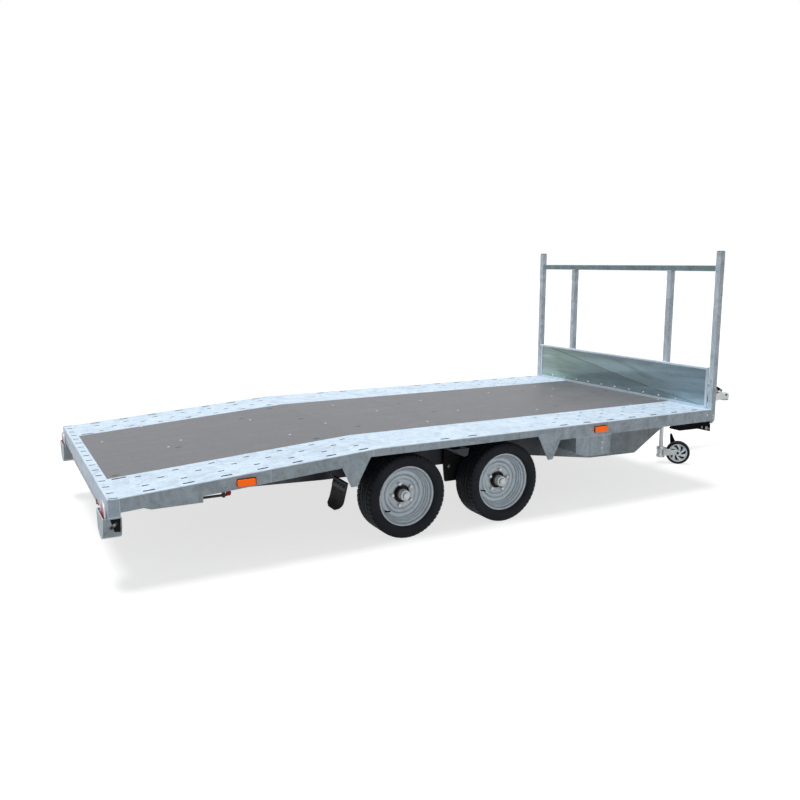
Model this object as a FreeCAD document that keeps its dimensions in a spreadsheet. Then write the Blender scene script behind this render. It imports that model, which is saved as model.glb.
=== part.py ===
"""Beavertail trailer: a flat car deck on two axles, falling away behind the wheels.

Row frame, millimetres: +X points to the coupling, +Y to the trailer's left, +Z up.  The origin is
on the ground below the middle of the overall box.  Lengths along the trailer are given from the
rear axle (see along), heights from the ground and widths from the centre line.
"""
import FreeCAD
import Part
import Sketcher
import math
import os
from FreeCAD import Placement, Rotation, Vector

DOC = FreeCAD.newDocument("beavertail_trailer")
SHEET = DOC.addObject("Spreadsheet::Sheet", "Sizes")

# Driving dimensions: name, value, meaning
SIZES = [
    ("axle_spacing", 700, "rear axle to front axle"),
    ("deck_height", 590, "ground to the top of the level deck"),
    ("deck_front", 2480, "rear axle to the front edge of the deck"),
    ("kink_back", 220, "rear axle back to the start of the tail"),
    ("deck_back", 1710, "rear axle back to the rear edge of the deck"),
    ("tail_drop", 100, "fall of the tail between kink and rear beam"),
    ("half_width", 1030, "centre line to the outer face of a side rail"),
    ("runway_wide", 410, "width of a runway sheet"),
    ("board_thick", 18, "thickness of the deck boards"),
    ("board_gap", 1, "play round a board"),
    ("board_joint", 473, "rear axle to the joint of the two level boards"),
    ("sheet_thick", 4, "thickness of the pressed sheets"),
    ("tail_rail_depth", 74, "depth of the side rail along the tail"),
    ("wheel_rail_depth", 46, "depth of the side rail over the wheels"),
    ("front_rail_depth", 86, "depth of the side rail along the front"),
    ("rail_flange", 42, "width of the side rail's folded edges"),
    ("gusset_depth", 208, "deck top down to the tips of the side gussets"),
    ("gusset_tip", 36, "width of a gusset's blunt tip"),
    ("rear_gusset_tip", 380, "rear axle back to the rear gusset's tip"),
    ("rear_gusset_back", 452, "rear axle back to the rear gusset's rear root"),
    ("rear_gusset_front", 274, "rear axle back to the rear gusset's front root"),
    ("front_gusset_tip", 1016, "rear axle to the front gusset's tip"),
    ("front_gusset_back", 916, "rear axle to the front gusset's rear root"),
    ("front_gusset_front", 1096, "rear axle to the front gusset's front root"),
    ("slot_pitch", 200, "spacing of the runway slots along the trailer"),
    ("slot_long", 60, "length of the outer lashing slots"),
    ("slot_short", 34, "length of the small grip slots"),
    ("slot_width", 18, "width of the lashing slots"),
    ("grip_width", 14, "width of the grip slots"),
    ("slot_large", 76, "length of the large slots at the rear corners"),
    ("slot_outer_in", 45, "side rail's face in to the row of lashing slots"),
    ("slot_row_a_out", 64, "boards' edge out to the inner row of grip slots"),
    ("slot_row_b_out", 163, "boards' edge out to the middle row of grip slots"),
    ("slot_row_c_out", 262, "boards' edge out to the outer row of grip slots"),
    ("slot_tail_in", 210, "deck's rear edge forward to the rearmost outer slot"),
    ("slot_front_start", 1155, "rear axle to the first slot ahead of the wheels"),
    ("slot_mid_start", 245, "rear axle to the first lashing slot between the wheels"),
    ("beam_long", 60, "size of the rear beam along the trailer"),
    ("beam_deep", 98, "depth of the rear beam"),
    ("beam_wall", 4, "wall of the rear beam"),
    ("beam_slot_in", 120, "side rail's face in to the last slot of the rear beam"),
    ("member_deep", 52, "depth of the cross members"),
    ("member_wide", 40, "width of the cross members"),
    ("member_wall", 4, "wall of the cross members"),
    ("chassis_in", 310, "side rail's face in to a chassis beam"),
    ("chassis_flange", 56, "flange width of the chassis beams"),
    ("chassis_wall", 5, "wall of the chassis beams"),
    ("chassis_low", 356, "underside of the chassis beams over the axles"),
    ("hanger_at", 400, "rear axle to the rear of the suspension hanger"),
    ("hanger_long", 80, "length of a suspension hanger"),
    ("hanger_low", 245, "ground to the bottom of a suspension hanger"),
    ("hanger_wide", 24, "width of a suspension hanger"),
    ("chassis_nose_low", 250, "lowest point of the chassis beams at the drawbar"),
    ("chassis_nose_x", 2050, "rear axle to the lowest point of the chassis beams"),
    ("chassis_nose_back", 1620, "rear axle to the start of the deep nose"),
    ("wheel_radius", 256, "rolling radius of a road tyre"),
    ("tyre_width", 195, "width of a road tyre"),
    ("tyre_shoulder", 24, "height and reach of a tyre's shoulder"),
    ("wheel_in", 150, "side rail's face in to the middle of a road wheel"),
    ("rim_radius", 182.6, "radius of a rim's flanges"),
    ("rim_seat", 165, "radius of the tyre's seat on the rim"),
    ("rim_half", 77.5, "half the width of a rim over its flanges"),
    ("rim_lip", 7.5, "thickness of a rim's flanges"),
    ("rim_wall", 7, "thickness of a rim's barrel"),
    ("rim_dish", 72, "depth of the wheel disc inside the outer flange"),
    ("disc_thick", 6, "thickness of the wheel disc"),
    ("disc_radius", 132, "radius where disc and barrel meet"),
    ("hub_bore", 47, "radius of the hole through the wheel disc"),
    ("drum_radius", 106, "radius of a brake drum"),
    ("drum_long", 94, "middle of a wheel in to the inner face of its brake drum"),
    ("cap_radius", 33, "radius of a grease cap"),
    ("cap_long", 76, "middle of a wheel out to the end of its grease cap"),
    ("spindle_radius", 20, "radius of a stub axle"),
    ("spindle_play", 0.05, "radial play of a hub on its stub axle"),
    ("side_play", 0.4, "sideways play of a lever or wheel between its ears"),
    ("spindle_long", 20, "middle of a wheel out to the end of its stub axle"),
    ("arm_lead", 130, "wheel centre forward to its axle tube"),
    ("tube_size", 76, "size of the square axle tubes"),
    ("tube_wall", 6, "wall of the axle tubes"),
    ("arm_thick", 24, "thickness of a suspension arm"),
    ("arm_in", 132, "middle of a wheel in to the inner face of its suspension arm"),
    ("post_size", 40, "size of the headboard's square posts"),
    ("post_top", 1725, "ground to the top of the corner posts"),
    ("post_foot", 486, "ground to the foot of the corner posts"),
    ("bar_top", 1625, "ground to the top of the headboard's bar"),
    ("upright_in", 475, "side rail's face in to the middle of a headboard upright"),
    ("panel_top", 893, "ground to the top of the headboard panel"),
    ("panel_edge", 22, "width of the panel's folded edges"),
    ("panel_thick", 3, "thickness of the headboard panel"),
    ("panel_play", 8, "play round the headboard panel"),
    ("drawbar_deep", 100, "depth of the drawbar arms"),
    ("drawbar_wide", 50, "width of the drawbar arms"),
    ("drawbar_low", 355, "underside of the drawbar arms"),
    ("drawbar_meet", 3110, "rear axle to the point where the arms meet"),
    ("drawbar_root", 1900, "rear axle to the rear end of the arms"),
    ("drawbar_cheek", 170, "length of the arms' ends beside the overrun housing"),
    ("drawbar_gap", 4, "gap between a chassis beam's flange and the root of an arm"),
    ("hanger_thick", 10, "thickness of the plates that hang the arms from the deck"),
    ("housing_long", 350, "length of the overrun housing"),
    ("housing_wide", 96, "width of the overrun housing"),
    ("housing_deep", 84, "depth of the overrun housing"),
    ("pivot_rise", 22, "height of a lever's pivot above the surface that carries it"),
    ("pivot_radius", 6, "radius of the lever pivots"),
    ("ear_thick", 5, "thickness of the ears that hold a lever"),
    ("lever_thick", 16, "thickness of the parking brake lever"),
    ("lever_long", 240, "length of the parking brake lever"),
    ("handle_wide", 30, "width of the coupling's handle"),
    ("shaft_radius", 30, "radius of the towing shaft"),
    ("gaiter_radius", 44, "outer radius of the folds of the rubber gaiter"),
    ("ball_radius", 25, "radius of the ball that the coupling takes"),
    ("ball_height", 430, "ground to the centre of the coupling ball"),
    ("socket_depth", 46, "depth of the round socket below its roof"),
    ("head_radius", 44, "radius of the coupling head round the ball"),
    ("head_long", 240, "length of the coupling head behind the ball"),
    ("neck_radius", 37, "radius of the coupling head's neck"),
    ("handle_at", 64, "coupling ball back to the pivot of the coupling's handle"),
    ("ball_at", 3830, "rear axle to the centre of the coupling ball"),
    ("lever_pivot", 3330, "rear axle to the pivot of the parking brake lever"),
    ("jockey_at", 2763, "rear axle to the axis of the jockey leg"),
    ("arm_gap", 6, "gap between the jockey's outer tube and its drawbar arm"),
    ("jockey_tube", 24, "radius of the jockey's outer tube"),
    ("jockey_leg", 16, "radius of the jockey's inner tube"),
    ("jockey_play", 0.08, "radial play of the inner tube"),
    ("jockey_wheel", 95, "radius of the jockey wheel"),
    ("jockey_tread", 56, "width of the jockey wheel"),
    ("jockey_trail", 136, "swivel axis to the jockey wheel's axle"),
    ("jockey_top", 720, "ground to the top of the jockey's outer tube"),
    ("jockey_low", 366, "ground to the bottom of the jockey's outer tube"),
    ("jockey_leg_long", 540, "length of the jockey's inner tube"),
    ("jockey_leg_low", 60, "ground to the bottom of the inner tube"),
    ("jockey_head", 34, "radius of the jockey's swivel head"),
    ("jockey_head_low", 48, "ground to the bottom of the swivel head"),
    ("jockey_head_top", 137, "ground to the top of the swivel head"),
    ("jockey_strap", 30, "half the height of the fork's straps"),
    ("jockey_blade_top", 245, "ground to the tip of the blade behind the jockey wheel"),
    ("jockey_clamp", 60, "height of the jockey's clamp"),
    ("jockey_clamp_low", 385, "ground to the bottom of the jockey's clamp"),
    ("jockey_fork_wall", 5, "thickness of the jockey's fork"),
    ("jockey_pin", 6, "radius of the jockey wheel's axle"),
    ("jockey_rim", 74, "radius of the jockey wheel's rim"),
    ("crank_reach", 120, "length of the jockey's crank"),
    ("crank_grip", 70, "length of the crank's grip"),
    ("jockey_turn", -46, "heading of the jockey wheel's fork, degrees from +X"),
    ("guard_low", 268, "ground to the bottom of the lamp guards"),
    ("guard_long", 90, "depth of a lamp guard along the trailer"),
    ("guard_back", 25, "reach of the lamp guards behind the deck"),
    ("guard_wide", 226, "width of a lamp guard"),
    ("guard_in", 4, "side rail's face in to a lamp guard"),
    ("guard_round", 80, "radius of a lamp guard's lower corners"),
    ("lamp_radius", 72, "radius of the round rear lamps"),
    ("lamp_height", 392, "ground to the centre of the rear lamps"),
    ("lamp_in", 88, "side rail's face in to the centre of a rear lamp"),
    ("lamp_thick", 16, "thickness of the rear lamps"),
    ("hatch_low", 348, "ground to the lower edge of the rear board"),
    ("hatch_in", 390, "side rail's face in to the end of the rear board"),
    ("marker_long", 106, "length of a side marker"),
    ("marker_high", 42, "height of a side marker"),
    ("marker_thick", 16, "thickness of a side marker"),
    ("marker_drop", 22, "deck top down to the top of a side marker"),
    ("marker_tail_at", 1007, "rear axle back to the rear side marker"),
    ("marker_front_at", 1431, "rear axle to the front side marker"),
    ("front_lamp_long", 345, "length of a front lamp's arm"),
    ("front_lamp_wide", 40, "width of a front lamp's arm"),
    ("box_back", 1250, "rear axle to the rear of the tool box"),
    ("box_front", 1550, "rear axle to the front of the tool box"),
    ("box_low", 358, "ground to the bottom of the tool box"),
    ("box_wide", 210, "width of the tool box"),
    ("box_in", 30, "side rail's face in to the tool box"),
    ("flap_wide", 190, "width of a mudflap"),
    ("flap_thick", 8, "thickness of a mudflap"),
    ("flap_top", 388, "ground to the top of a mudflap"),
    ("flap_bend", 285, "ground to the bend of a mudflap"),
    ("flap_low", 198, "ground to the bottom of a mudflap"),
    ("flap_at", 400, "rear axle back to the top of a mudflap"),
    ("flap_bracket", 4, "thickness of a mudflap's bracket"),
    ("tray_back_in", 170, "deck's rear edge forward to the rear of the tail trays"),
    ("tray_long", 302, "length of the tail trays"),
    ("tray_low", 410, "ground to the bottom of the tail trays"),
    ("tray_wide", 120, "width of the tail trays"),
    ("pin_radius", 7, "radius of the locking rods under the tail"),
    ("pin_height", 430, "ground to the axis of the locking rods"),
    ("pin_in", 22, "side rail's face in to the axis of the locking rods"),
    ("pin_front_in", 604, "deck's rear edge forward to the front of the locking rods"),
    ("pin_bracket", 14, "length of a locking rod's bracket"),
]


class Size:
    """A number together with the sheet formula it comes from."""

    def __init__(self, value, text):
        self.value = value
        self.text = text

    def join(self, sign, other, turned=False):
        other = other if isinstance(other, Size) else Size(other, repr(other))
        left, right = (other, self) if turned else (self, other)
        sums = {
            "+": left.value + right.value,
            "-": left.value - right.value,
            "*": left.value * right.value,
            "/": left.value / right.value if right.value else 0,
        }
        return Size(sums[sign], "(%s %s %s)" % (left.text, sign, right.text))

    def __add__(self, other):
        return self.join("+", other)

    def __radd__(self, other):
        return self.join("+", other, True)

    def __sub__(self, other):
        return self.join("-", other)

    def __rsub__(self, other):
        return self.join("-", other, True)

    def __mul__(self, other):
        return self.join("*", other)

    def __rmul__(self, other):
        return self.join("*", other, True)

    def __truediv__(self, other):
        return self.join("/", other)

    def __neg__(self):
        return Size(-self.value, "(0 - %s)" % self.text)


def fill_sheet():
    """Write the sizes to the sheet and hand them back by name."""
    names = {}
    for row, (name, value, meaning) in enumerate(SIZES, start=1):
        SHEET.set("A%d" % row, name)
        SHEET.set("B%d" % row, str(value))
        SHEET.set("C%d" % row, meaning)
        SHEET.setAlias("B%d" % row, name)
        names[name] = Size(value, "Sizes." + name)
    DOC.recompute()
    return names


S = fill_sheet()
BEAM_SLOTS = 15

# Widths and places that follow others: name, where it is measured from, sign, the size in the sheet
FOLLOWERS = [
    ("board_half", "half_width", -1, "runway_wide"),
    ("slot_outer", "half_width", -1, "slot_outer_in"),
    ("slot_row_a", "board_half", 1, "slot_row_a_out"),
    ("slot_row_b", "board_half", 1, "slot_row_b_out"),
    ("slot_row_c", "board_half", 1, "slot_row_c_out"),
    ("beam_slot_reach", "half_width", -1, "beam_slot_in"),
    ("chassis_half", "half_width", -1, "chassis_in"),
    ("wheel_half_track", "half_width", -1, "wheel_in"),
    ("drum_back", "wheel_half_track", -1, "drum_long"),
    ("cap_reach", "wheel_half_track", 1, "cap_long"),
    ("spindle_end", "wheel_half_track", 1, "spindle_long"),
    ("arm_inner", "wheel_half_track", -1, "arm_in"),
    ("upright_at", "half_width", -1, "upright_in"),
    ("guard_outer", "half_width", -1, "guard_in"),
    ("guard_inner", "guard_outer", -1, "guard_wide"),
    ("lamp_side", "half_width", -1, "lamp_in"),
    ("hatch_half", "half_width", -1, "hatch_in"),
    ("box_outer", "half_width", -1, "box_in"),
    ("box_inner", "box_outer", -1, "box_wide"),
    ("pin_side", "half_width", -1, "pin_in"),
    ("slot_tail_end", "deck_back", -1, "slot_tail_in"),
    ("tray_back", "deck_back", -1, "tray_back_in"),
    ("tray_front", "tray_back", -1, "tray_long"),
    ("pin_front", "deck_back", -1, "pin_front_in"),
]
for follower, start, sign, step in FOLLOWERS:
    S[follower] = S[start] + S[step] if sign > 0 else S[start] - S[step]
S["beam_slot_pitch"] = S["beam_slot_reach"] * 2 / (BEAM_SLOTS - 1)


def along(distance):
    """A place along the trailer, from its distance ahead of the rear axle."""
    front_reach = S["ball_at"] + S["head_radius"]
    rear_reach = S["deck_back"] + S["guard_back"]
    return distance - (front_reach - rear_reach) / 2


# Places that several pieces share
HALF = S["half_width"]
SHEET_T = S["sheet_thick"]
DECK = S["deck_height"]
KINK = along(-S["kink_back"])
BACK = along(-S["deck_back"])
FRONT = along(S["deck_front"])
BEAM_FRONT = along(S["beam_long"] - S["deck_back"])
SLOPE = S["tail_drop"] / (S["deck_back"] - S["beam_long"] - S["kink_back"])
TAIL_TOP = DECK - S["tail_drop"]
MEMBER_TOP = DECK - S["board_thick"]
CHASSIS_TOP = MEMBER_TOP - S["member_deep"]


def deck_line(place):
    """Height of the deck's top at a place behind the kink."""
    return DECK - (KINK - place) * SLOPE


# Makers

def bind(item, path, formula):
    """Bind one property of an object to the sheet."""
    formula = formula if isinstance(formula, Size) else Size(formula, repr(formula))
    item.setExpression(path, formula.text)


def place_body(item, at=(0, 0, 0), turn=None):
    """Bind an object's Placement: a point and, if asked, a turn (axis, degrees)."""
    if turn is not None:
        axis, degrees = turn
        degrees = degrees if isinstance(degrees, Size) else Size(degrees, repr(degrees))
        item.Placement = Placement(Vector(0, 0, 0), Rotation(axis, degrees.value))
        item.setExpression("Placement.Rotation.Angle", degrees.text + " * 1 deg")
    for name, value in zip("xyz", at):
        bind(item, "Placement.Base." + name, value)


def new_body(name):
    body = DOC.addObject("PartDesign::Body", name)
    body.Label = name
    body.AllowCompound = True
    return body


def new_sketch(body, name, plane, offset=0):
    """A sketch on one of the body's own origin planes, moved along its normal by offset."""
    sketch = body.newObject("Sketcher::SketchObject", name)
    roles = [f for f in body.Origin.OriginFeatures if f.Role == plane]
    sketch.AttachmentSupport = [(roles[0], "")]
    sketch.MapMode = "FlatFace"
    offset = offset if isinstance(offset, Size) else Size(offset, repr(offset))
    if offset.text != "0":
        sketch.AttachmentOffset = Placement(Vector(0, 0, offset.value), Rotation())
        sketch.setExpression("AttachmentOffset.Base.z", offset.text)
    return sketch


def number(value):
    return value.value if isinstance(value, Size) else value


def cosine(degrees):
    return Size(math.cos(math.radians(degrees.value)), "cos(%s * 1 deg)" % degrees.text)


def sine(degrees):
    return Size(math.sin(math.radians(degrees.value)), "sin(%s * 1 deg)" % degrees.text)


def slope_angle(rise, run):
    """Angle in degrees of a line that rises by rise over run."""
    value = math.degrees(math.atan2(rise.value, run.value))
    return Size(value, "(atan(%s / %s) / 1 deg)" % (rise.text, run.text))


def draw_loop(sketch, points):
    """A closed outline of straight lines through points, each bound to the sheet."""
    first = sketch.GeometryCount
    corners = [Vector(number(a), number(b), 0) for a, b in points]
    for i, corner in enumerate(corners):
        sketch.addGeometry(Part.LineSegment(corner, corners[(i + 1) % len(corners)]), False)
    for i in range(len(points)):
        after = first + (i + 1) % len(points)
        sketch.addConstraint(Sketcher.Constraint("Coincident", first + i, 2, after, 1))
    for i, pair in enumerate(points):
        for kind, value in zip(("DistanceX", "DistanceY"), pair):
            index = sketch.addConstraint(Sketcher.Constraint(kind, first + i, 1, number(value)))
            if isinstance(value, Size):
                sketch.setExpression("Constraints[%d]" % index, value.text)


def draw_circle(sketch, centre, radius):
    """A circle, its centre and radius bound to the sheet."""
    middle = Vector(number(centre[0]), number(centre[1]), 0)
    circle = sketch.addGeometry(Part.Circle(middle, Vector(0, 0, 1), number(radius)), False)
    for kind, value in zip(("DistanceX", "DistanceY"), centre):
        index = sketch.addConstraint(Sketcher.Constraint(kind, circle, 3, number(value)))
        if isinstance(value, Size):
            sketch.setExpression("Constraints[%d]" % index, value.text)
    index = sketch.addConstraint(Sketcher.Constraint("Radius", circle, number(radius)))
    if isinstance(radius, Size):
        sketch.setExpression("Constraints[%d]" % index, radius.text)


def pad(body, plane, loops, length, reverse=False, offset=0, middle=False):
    """Add a plate of the given loops to the body."""
    count = len(body.Group)
    sketch = new_sketch(body, "%s_outline_%d" % (body.Name, count), plane, offset)
    for loop in loops:
        draw_loop(sketch, loop)
    feature = body.newObject("PartDesign::Pad", "%s_pad_%d" % (body.Name, count))
    feature.Profile = sketch
    bind(feature, "Length", length)
    feature.Reversed = reverse
    feature.Midplane = middle
    return feature


def pocket(body, plane, loops, length=None, reverse=False, offset=0):
    """Cut loops out of the body, right through it where no length is given."""
    count = len(body.Group)
    sketch = new_sketch(body, "%s_cut_%d" % (body.Name, count), plane, offset)
    for loop in loops:
        draw_loop(sketch, loop)
    feature = body.newObject("PartDesign::Pocket", "%s_pocket_%d" % (body.Name, count))
    feature.Profile = sketch
    if length is None:
        feature.Type = "ThroughAll"
        feature.Midplane = True
    else:
        bind(feature, "Length", length)
        feature.Reversed = reverse
    return feature


def row_of(body, feature, count, pitch, direction=Vector(1, 0, 0)):
    """Repeat a feature of the body in a straight row along one of its axes."""
    pattern = body.newObject("PartDesign::LinearPattern", "%s_row" % feature.Name)
    pattern.Originals = [feature]
    axes = {1: "X_Axis", 2: "Y_Axis"}
    wanted = axes[1] if direction.x else axes[2]
    pattern.Direction = ([f for f in body.Origin.OriginFeatures if f.Role == wanted][0], [""])
    pattern.Occurrences = count
    bind(pattern, "Length", pitch * (count - 1))
    body.Tip = pattern
    return pattern


def rectangle(low, high):
    (a, b), (c, d) = low, high
    return [(a, b), (c, b), (c, d), (a, d)]


def plain_box(name, low, high):
    """A block between two corners."""
    item = DOC.addObject("Part::Box", name)
    item.Label = name
    for path, a, b in zip(("Length", "Width", "Height"), low, high):
        bind(item, path, b - a)
    place_body(item, low)
    return item


def tube_box(name, low, high, wall, axis):
    """A hollow block with open ends along one axis (0, 1 or 2)."""
    outer = plain_box(name + "_outer", low, high)
    inner_low = [a if i == axis else a + wall for i, a in enumerate(low)]
    inner_high = [b if i == axis else b - wall for i, b in enumerate(high)]
    inner = plain_box(name + "_inner", inner_low, inner_high)
    cut = DOC.addObject("Part::Cut", name)
    cut.Label = name
    cut.Base = outer
    cut.Tool = inner
    return cut


def rod(name, start, radius, length, axis=Vector(0, 0, 1), degrees=0):
    """A round bar from start, along +Z or turned about axis."""
    item = DOC.addObject("Part::Cylinder", name)
    item.Label = name
    bind(item, "Radius", radius)
    bind(item, "Height", length)
    place_body(item, start, (axis, degrees) if degrees else None)
    return item


def fused(name, items):
    item = DOC.addObject("Part::MultiFuse", name)
    item.Label = name
    item.Shapes = items
    return item


def cut_from(name, base, tool):
    item = DOC.addObject("Part::Cut", name)
    item.Label = name
    item.Base = base
    item.Tool = tool
    return item


def group(name, items):
    """Pieces that don't touch, kept as one sub-part."""
    item = DOC.addObject("Part::Compound", name)
    item.Label = name
    item.Links = items
    return item


def mirrored(name, source):
    """The same piece on the other side of the centre line."""
    item = DOC.addObject("Part::Mirroring", name)
    item.Label = name
    item.Source = source
    item.Normal = Vector(0, 1, 0)
    item.Base = Vector(0, 0, 0)
    return item


SIDES = (("right", -1), ("left", 1))
NODES = []


def keep(item):
    """Mark an object as one of the trailer's sub-parts."""
    NODES.append(item)
    return item


# Side rails: a web with hanging gussets and folded edges

def rail_loops():
    """Outlines of a side rail's web and of its folded edges, in the plane of its length."""
    top = DECK - SHEET_T
    tail_end = deck_line(BEAM_FRONT) - SHEET_T
    tip_low = DECK - S["gusset_depth"]
    half_tip = S["gusset_tip"] / 2

    def tail_low(place):
        return deck_line(place) - S["tail_rail_depth"]

    rear_back = along(-S["rear_gusset_back"])
    rear_front = along(-S["rear_gusset_front"])
    rear_tip = along(-S["rear_gusset_tip"])
    front_back = along(S["front_gusset_back"])
    front_front = along(S["front_gusset_front"])
    front_tip = along(S["front_gusset_tip"])
    wheel_low = DECK - S["wheel_rail_depth"]
    front_low = DECK - S["front_rail_depth"]
    web = [
        (BEAM_FRONT, tail_end),
        (BEAM_FRONT, tail_low(BEAM_FRONT)),
        (rear_back, tail_low(rear_back)),
        (rear_tip - half_tip, tip_low),
        (rear_tip + half_tip, tip_low),
        (rear_front, wheel_low),
        (front_back, wheel_low),
        (front_tip - half_tip, tip_low),
        (front_tip + half_tip, tip_low),
        (front_front, front_low),
        (FRONT, front_low),
        (FRONT, top),
        (KINK, top),
    ]
    upper = [
        (BEAM_FRONT, tail_end - SHEET_T),
        (KINK, top - SHEET_T),
        (FRONT, top - SHEET_T),
        (FRONT, top),
        (KINK, top),
        (BEAM_FRONT, tail_end),
    ]
    tail_lower = [
        (BEAM_FRONT, tail_low(BEAM_FRONT)),
        (rear_back, tail_low(rear_back)),
        (rear_back, tail_low(rear_back) + SHEET_T),
        (BEAM_FRONT, tail_low(BEAM_FRONT) + SHEET_T),
    ]
    wheel_lower = rectangle((rear_front, wheel_low), (front_back, wheel_low + SHEET_T))
    front_lower = rectangle((front_front, front_low), (FRONT, front_low + SHEET_T))
    return web, (upper, tail_lower, wheel_lower, front_lower)


def make_side_rails():
    web, edges = rail_loops()
    for side_name, side in SIDES:
        body = new_body("side_rail_" + side_name)
        inward = side < 0
        pad(body, "XZ_Plane", [web], SHEET_T, inward)
        for edge in edges:
            pad(body, "XZ_Plane", [edge], S["rail_flange"], inward)
        place_body(body, (0, side * HALF, 0))
        keep(body)


# Runways: the pressed sheets over the wheels, with rows of slots

RUNWAY_ROWS = [
    # row across, first place, copies, slot length, slot width
    ("slot_outer", -S["slot_tail_end"], 7, "slot_long", "slot_width"),
    ("slot_outer", S["slot_mid_start"], 2, "slot_long", "slot_width"),
    ("slot_outer", S["slot_front_start"], 7, "slot_long", "slot_width"),
    ("slot_row_a", -S["slot_tail_end"], 7, "slot_short", "grip_width"),
    ("slot_row_b", S["slot_pitch"] / 2 - S["slot_tail_end"], 6, "slot_short", "grip_width"),
    ("slot_row_c", -S["slot_tail_end"], 7, "slot_short", "grip_width"),
    ("slot_row_a", S["slot_front_start"], 7, "slot_short", "grip_width"),
    ("slot_row_b", S["slot_pitch"] / 2 + S["slot_front_start"], 6, "slot_short", "grip_width"),
    ("slot_row_c", S["slot_front_start"], 7, "slot_short", "grip_width"),
]


def make_runways():
    for side_name, side in SIDES:
        body = new_body("runway_" + side_name)
        tail_end = deck_line(BEAM_FRONT)
        sheet = [
            (BEAM_FRONT, tail_end - SHEET_T),
            (KINK, DECK - SHEET_T),
            (FRONT, DECK - SHEET_T),
            (FRONT, DECK),
            (KINK, DECK),
            (BEAM_FRONT, tail_end),
        ]
        lip = [
            (BEAM_FRONT, tail_end - S["board_thick"]),
            (KINK, MEMBER_TOP),
            (FRONT, MEMBER_TOP),
            (FRONT, DECK - SHEET_T),
            (KINK, DECK - SHEET_T),
            (BEAM_FRONT, tail_end - SHEET_T),
        ]
        outward = side > 0
        pad(body, "XZ_Plane", [sheet], HALF - S["board_half"], outward)
        pad(body, "XZ_Plane", [lip], SHEET_T, outward)
        for row, first, copies, long, wide in RUNWAY_ROWS:
            middle_y = side * (S[row] - S["board_half"])
            middle_x = along(first)
            slot = rectangle(
                (middle_x - S[long] / 2, middle_y - S[wide] / 2),
                (middle_x + S[long] / 2, middle_y + S[wide] / 2),
            )
            hole = pocket(body, "XY_Plane", [slot])
            row_of(body, hole, copies, S["slot_pitch"])
        corner_x = BEAM_FRONT + S["slot_large"] * 0.75
        corner_y = side * S["slot_width"] * 1.5
        pocket(body, "XY_Plane", [rectangle(
            (corner_x - S["slot_large"] / 2, corner_y - S["slot_width"] / 2),
            (corner_x + S["slot_large"] / 2, corner_y + S["slot_width"] / 2),
        )])
        place_body(body, (0, side * S["board_half"], 0))
        keep(body)


# Rear beam: a hollow beam with closed ends and a row of slots on top

def make_rear_beam():
    body = new_body("rear_beam")
    section = rectangle((BACK, TAIL_TOP - S["beam_deep"]), (BEAM_FRONT, TAIL_TOP))
    wall = S["beam_wall"]
    hollow = rectangle(
        (BACK + wall, TAIL_TOP - S["beam_deep"] + wall),
        (BEAM_FRONT - wall, TAIL_TOP - wall),
    )
    pad(body, "XZ_Plane", [section, hollow], HALF * 2 - wall * 2, middle=True)
    for side in (-1, 1):
        pad(body, "XZ_Plane", [section], wall, reverse=side > 0, offset=-side * (HALF - wall))
    first = -(BEAM_SLOTS - 1) / 2 * S["beam_slot_pitch"]
    slot = rectangle(
        (BACK + S["beam_long"] / 2 - S["slot_short"] / 2, first - S["grip_width"] / 2),
        (BACK + S["beam_long"] / 2 + S["slot_short"] / 2, first + S["grip_width"] / 2),
    )
    hole = pocket(body, "XY_Plane", [slot], wall * 2, reverse=False, offset=TAIL_TOP + wall / 2)
    row_of(body, hole, BEAM_SLOTS, S["beam_slot_pitch"], Vector(0, 1, 0))
    large = []
    for side in (-1, 1):
        end = side * (HALF - S["grip_width"])
        large.append(rectangle(
            (BACK + S["slot_width"] / 3, end - S["grip_width"] / 2),
            (BEAM_FRONT - S["slot_width"] / 3, end + S["grip_width"] / 2),
        ))
    pocket(body, "XY_Plane", large, wall * 2, offset=TAIL_TOP + wall / 2)
    place_body(body)
    keep(body)


# Deck boards

def make_boards():
    play = S["board_gap"]
    wide = (S["board_half"] - play) * 2
    top, low = DECK, MEMBER_TOP
    joint = along(S["board_joint"])
    boards = [
        ("board_front", rectangle((joint + play, low), (FRONT, top))),
        ("board_middle", rectangle((KINK + play, low), (joint, top))),
        ("board_tail", [
            (BEAM_FRONT + play, deck_line(BEAM_FRONT + play) - S["board_thick"]),
            (KINK, low),
            (KINK, top),
            (BEAM_FRONT + play, deck_line(BEAM_FRONT + play)),
        ]),
    ]
    for name, outline in boards:
        body = new_body(name)
        pad(body, "XZ_Plane", [outline], wide, middle=True)
        place_body(body)
        keep(body)


# Cross members, level ones and the ones that follow the tail

DECK_MEMBERS = [
    # place from the rear axle, half length across
    (S["axle_spacing"] / 2, "flange"),
    (S["box_back"] - 60, "wide"),
    (S["box_front"] + 60, "wide"),
    (S["box_front"] + 460, "wide"),
    (S["deck_front"] - S["member_wide"], "wide"),
    (0 - S["kink_back"] / 4, "narrow"),
    (S["axle_spacing"], "narrow"),
]
TAIL_MEMBERS = 4


def tail_member_place(index):
    """Rear face of a tail cross member, counted back from the kink."""
    step = (S["deck_back"] - S["beam_long"] - S["kink_back"]) / (TAIL_MEMBERS + 1)
    return KINK - step * (index + 1)


def channel_loop(place, top, slope=0):
    """Section of a cross member, open to the front, tilted to the slope of the deck."""
    wall, deep, wide = S["member_wall"], S["member_deep"], S["member_wide"]
    section = [
        (0, -deep), (wide, -deep), (wide, wall - deep), (wall, wall - deep),
        (wall, -wall), (wide, -wall), (wide, 0), (0, 0),
    ]
    return [(place + x, top + z + x * slope) for x, z in section]


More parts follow.
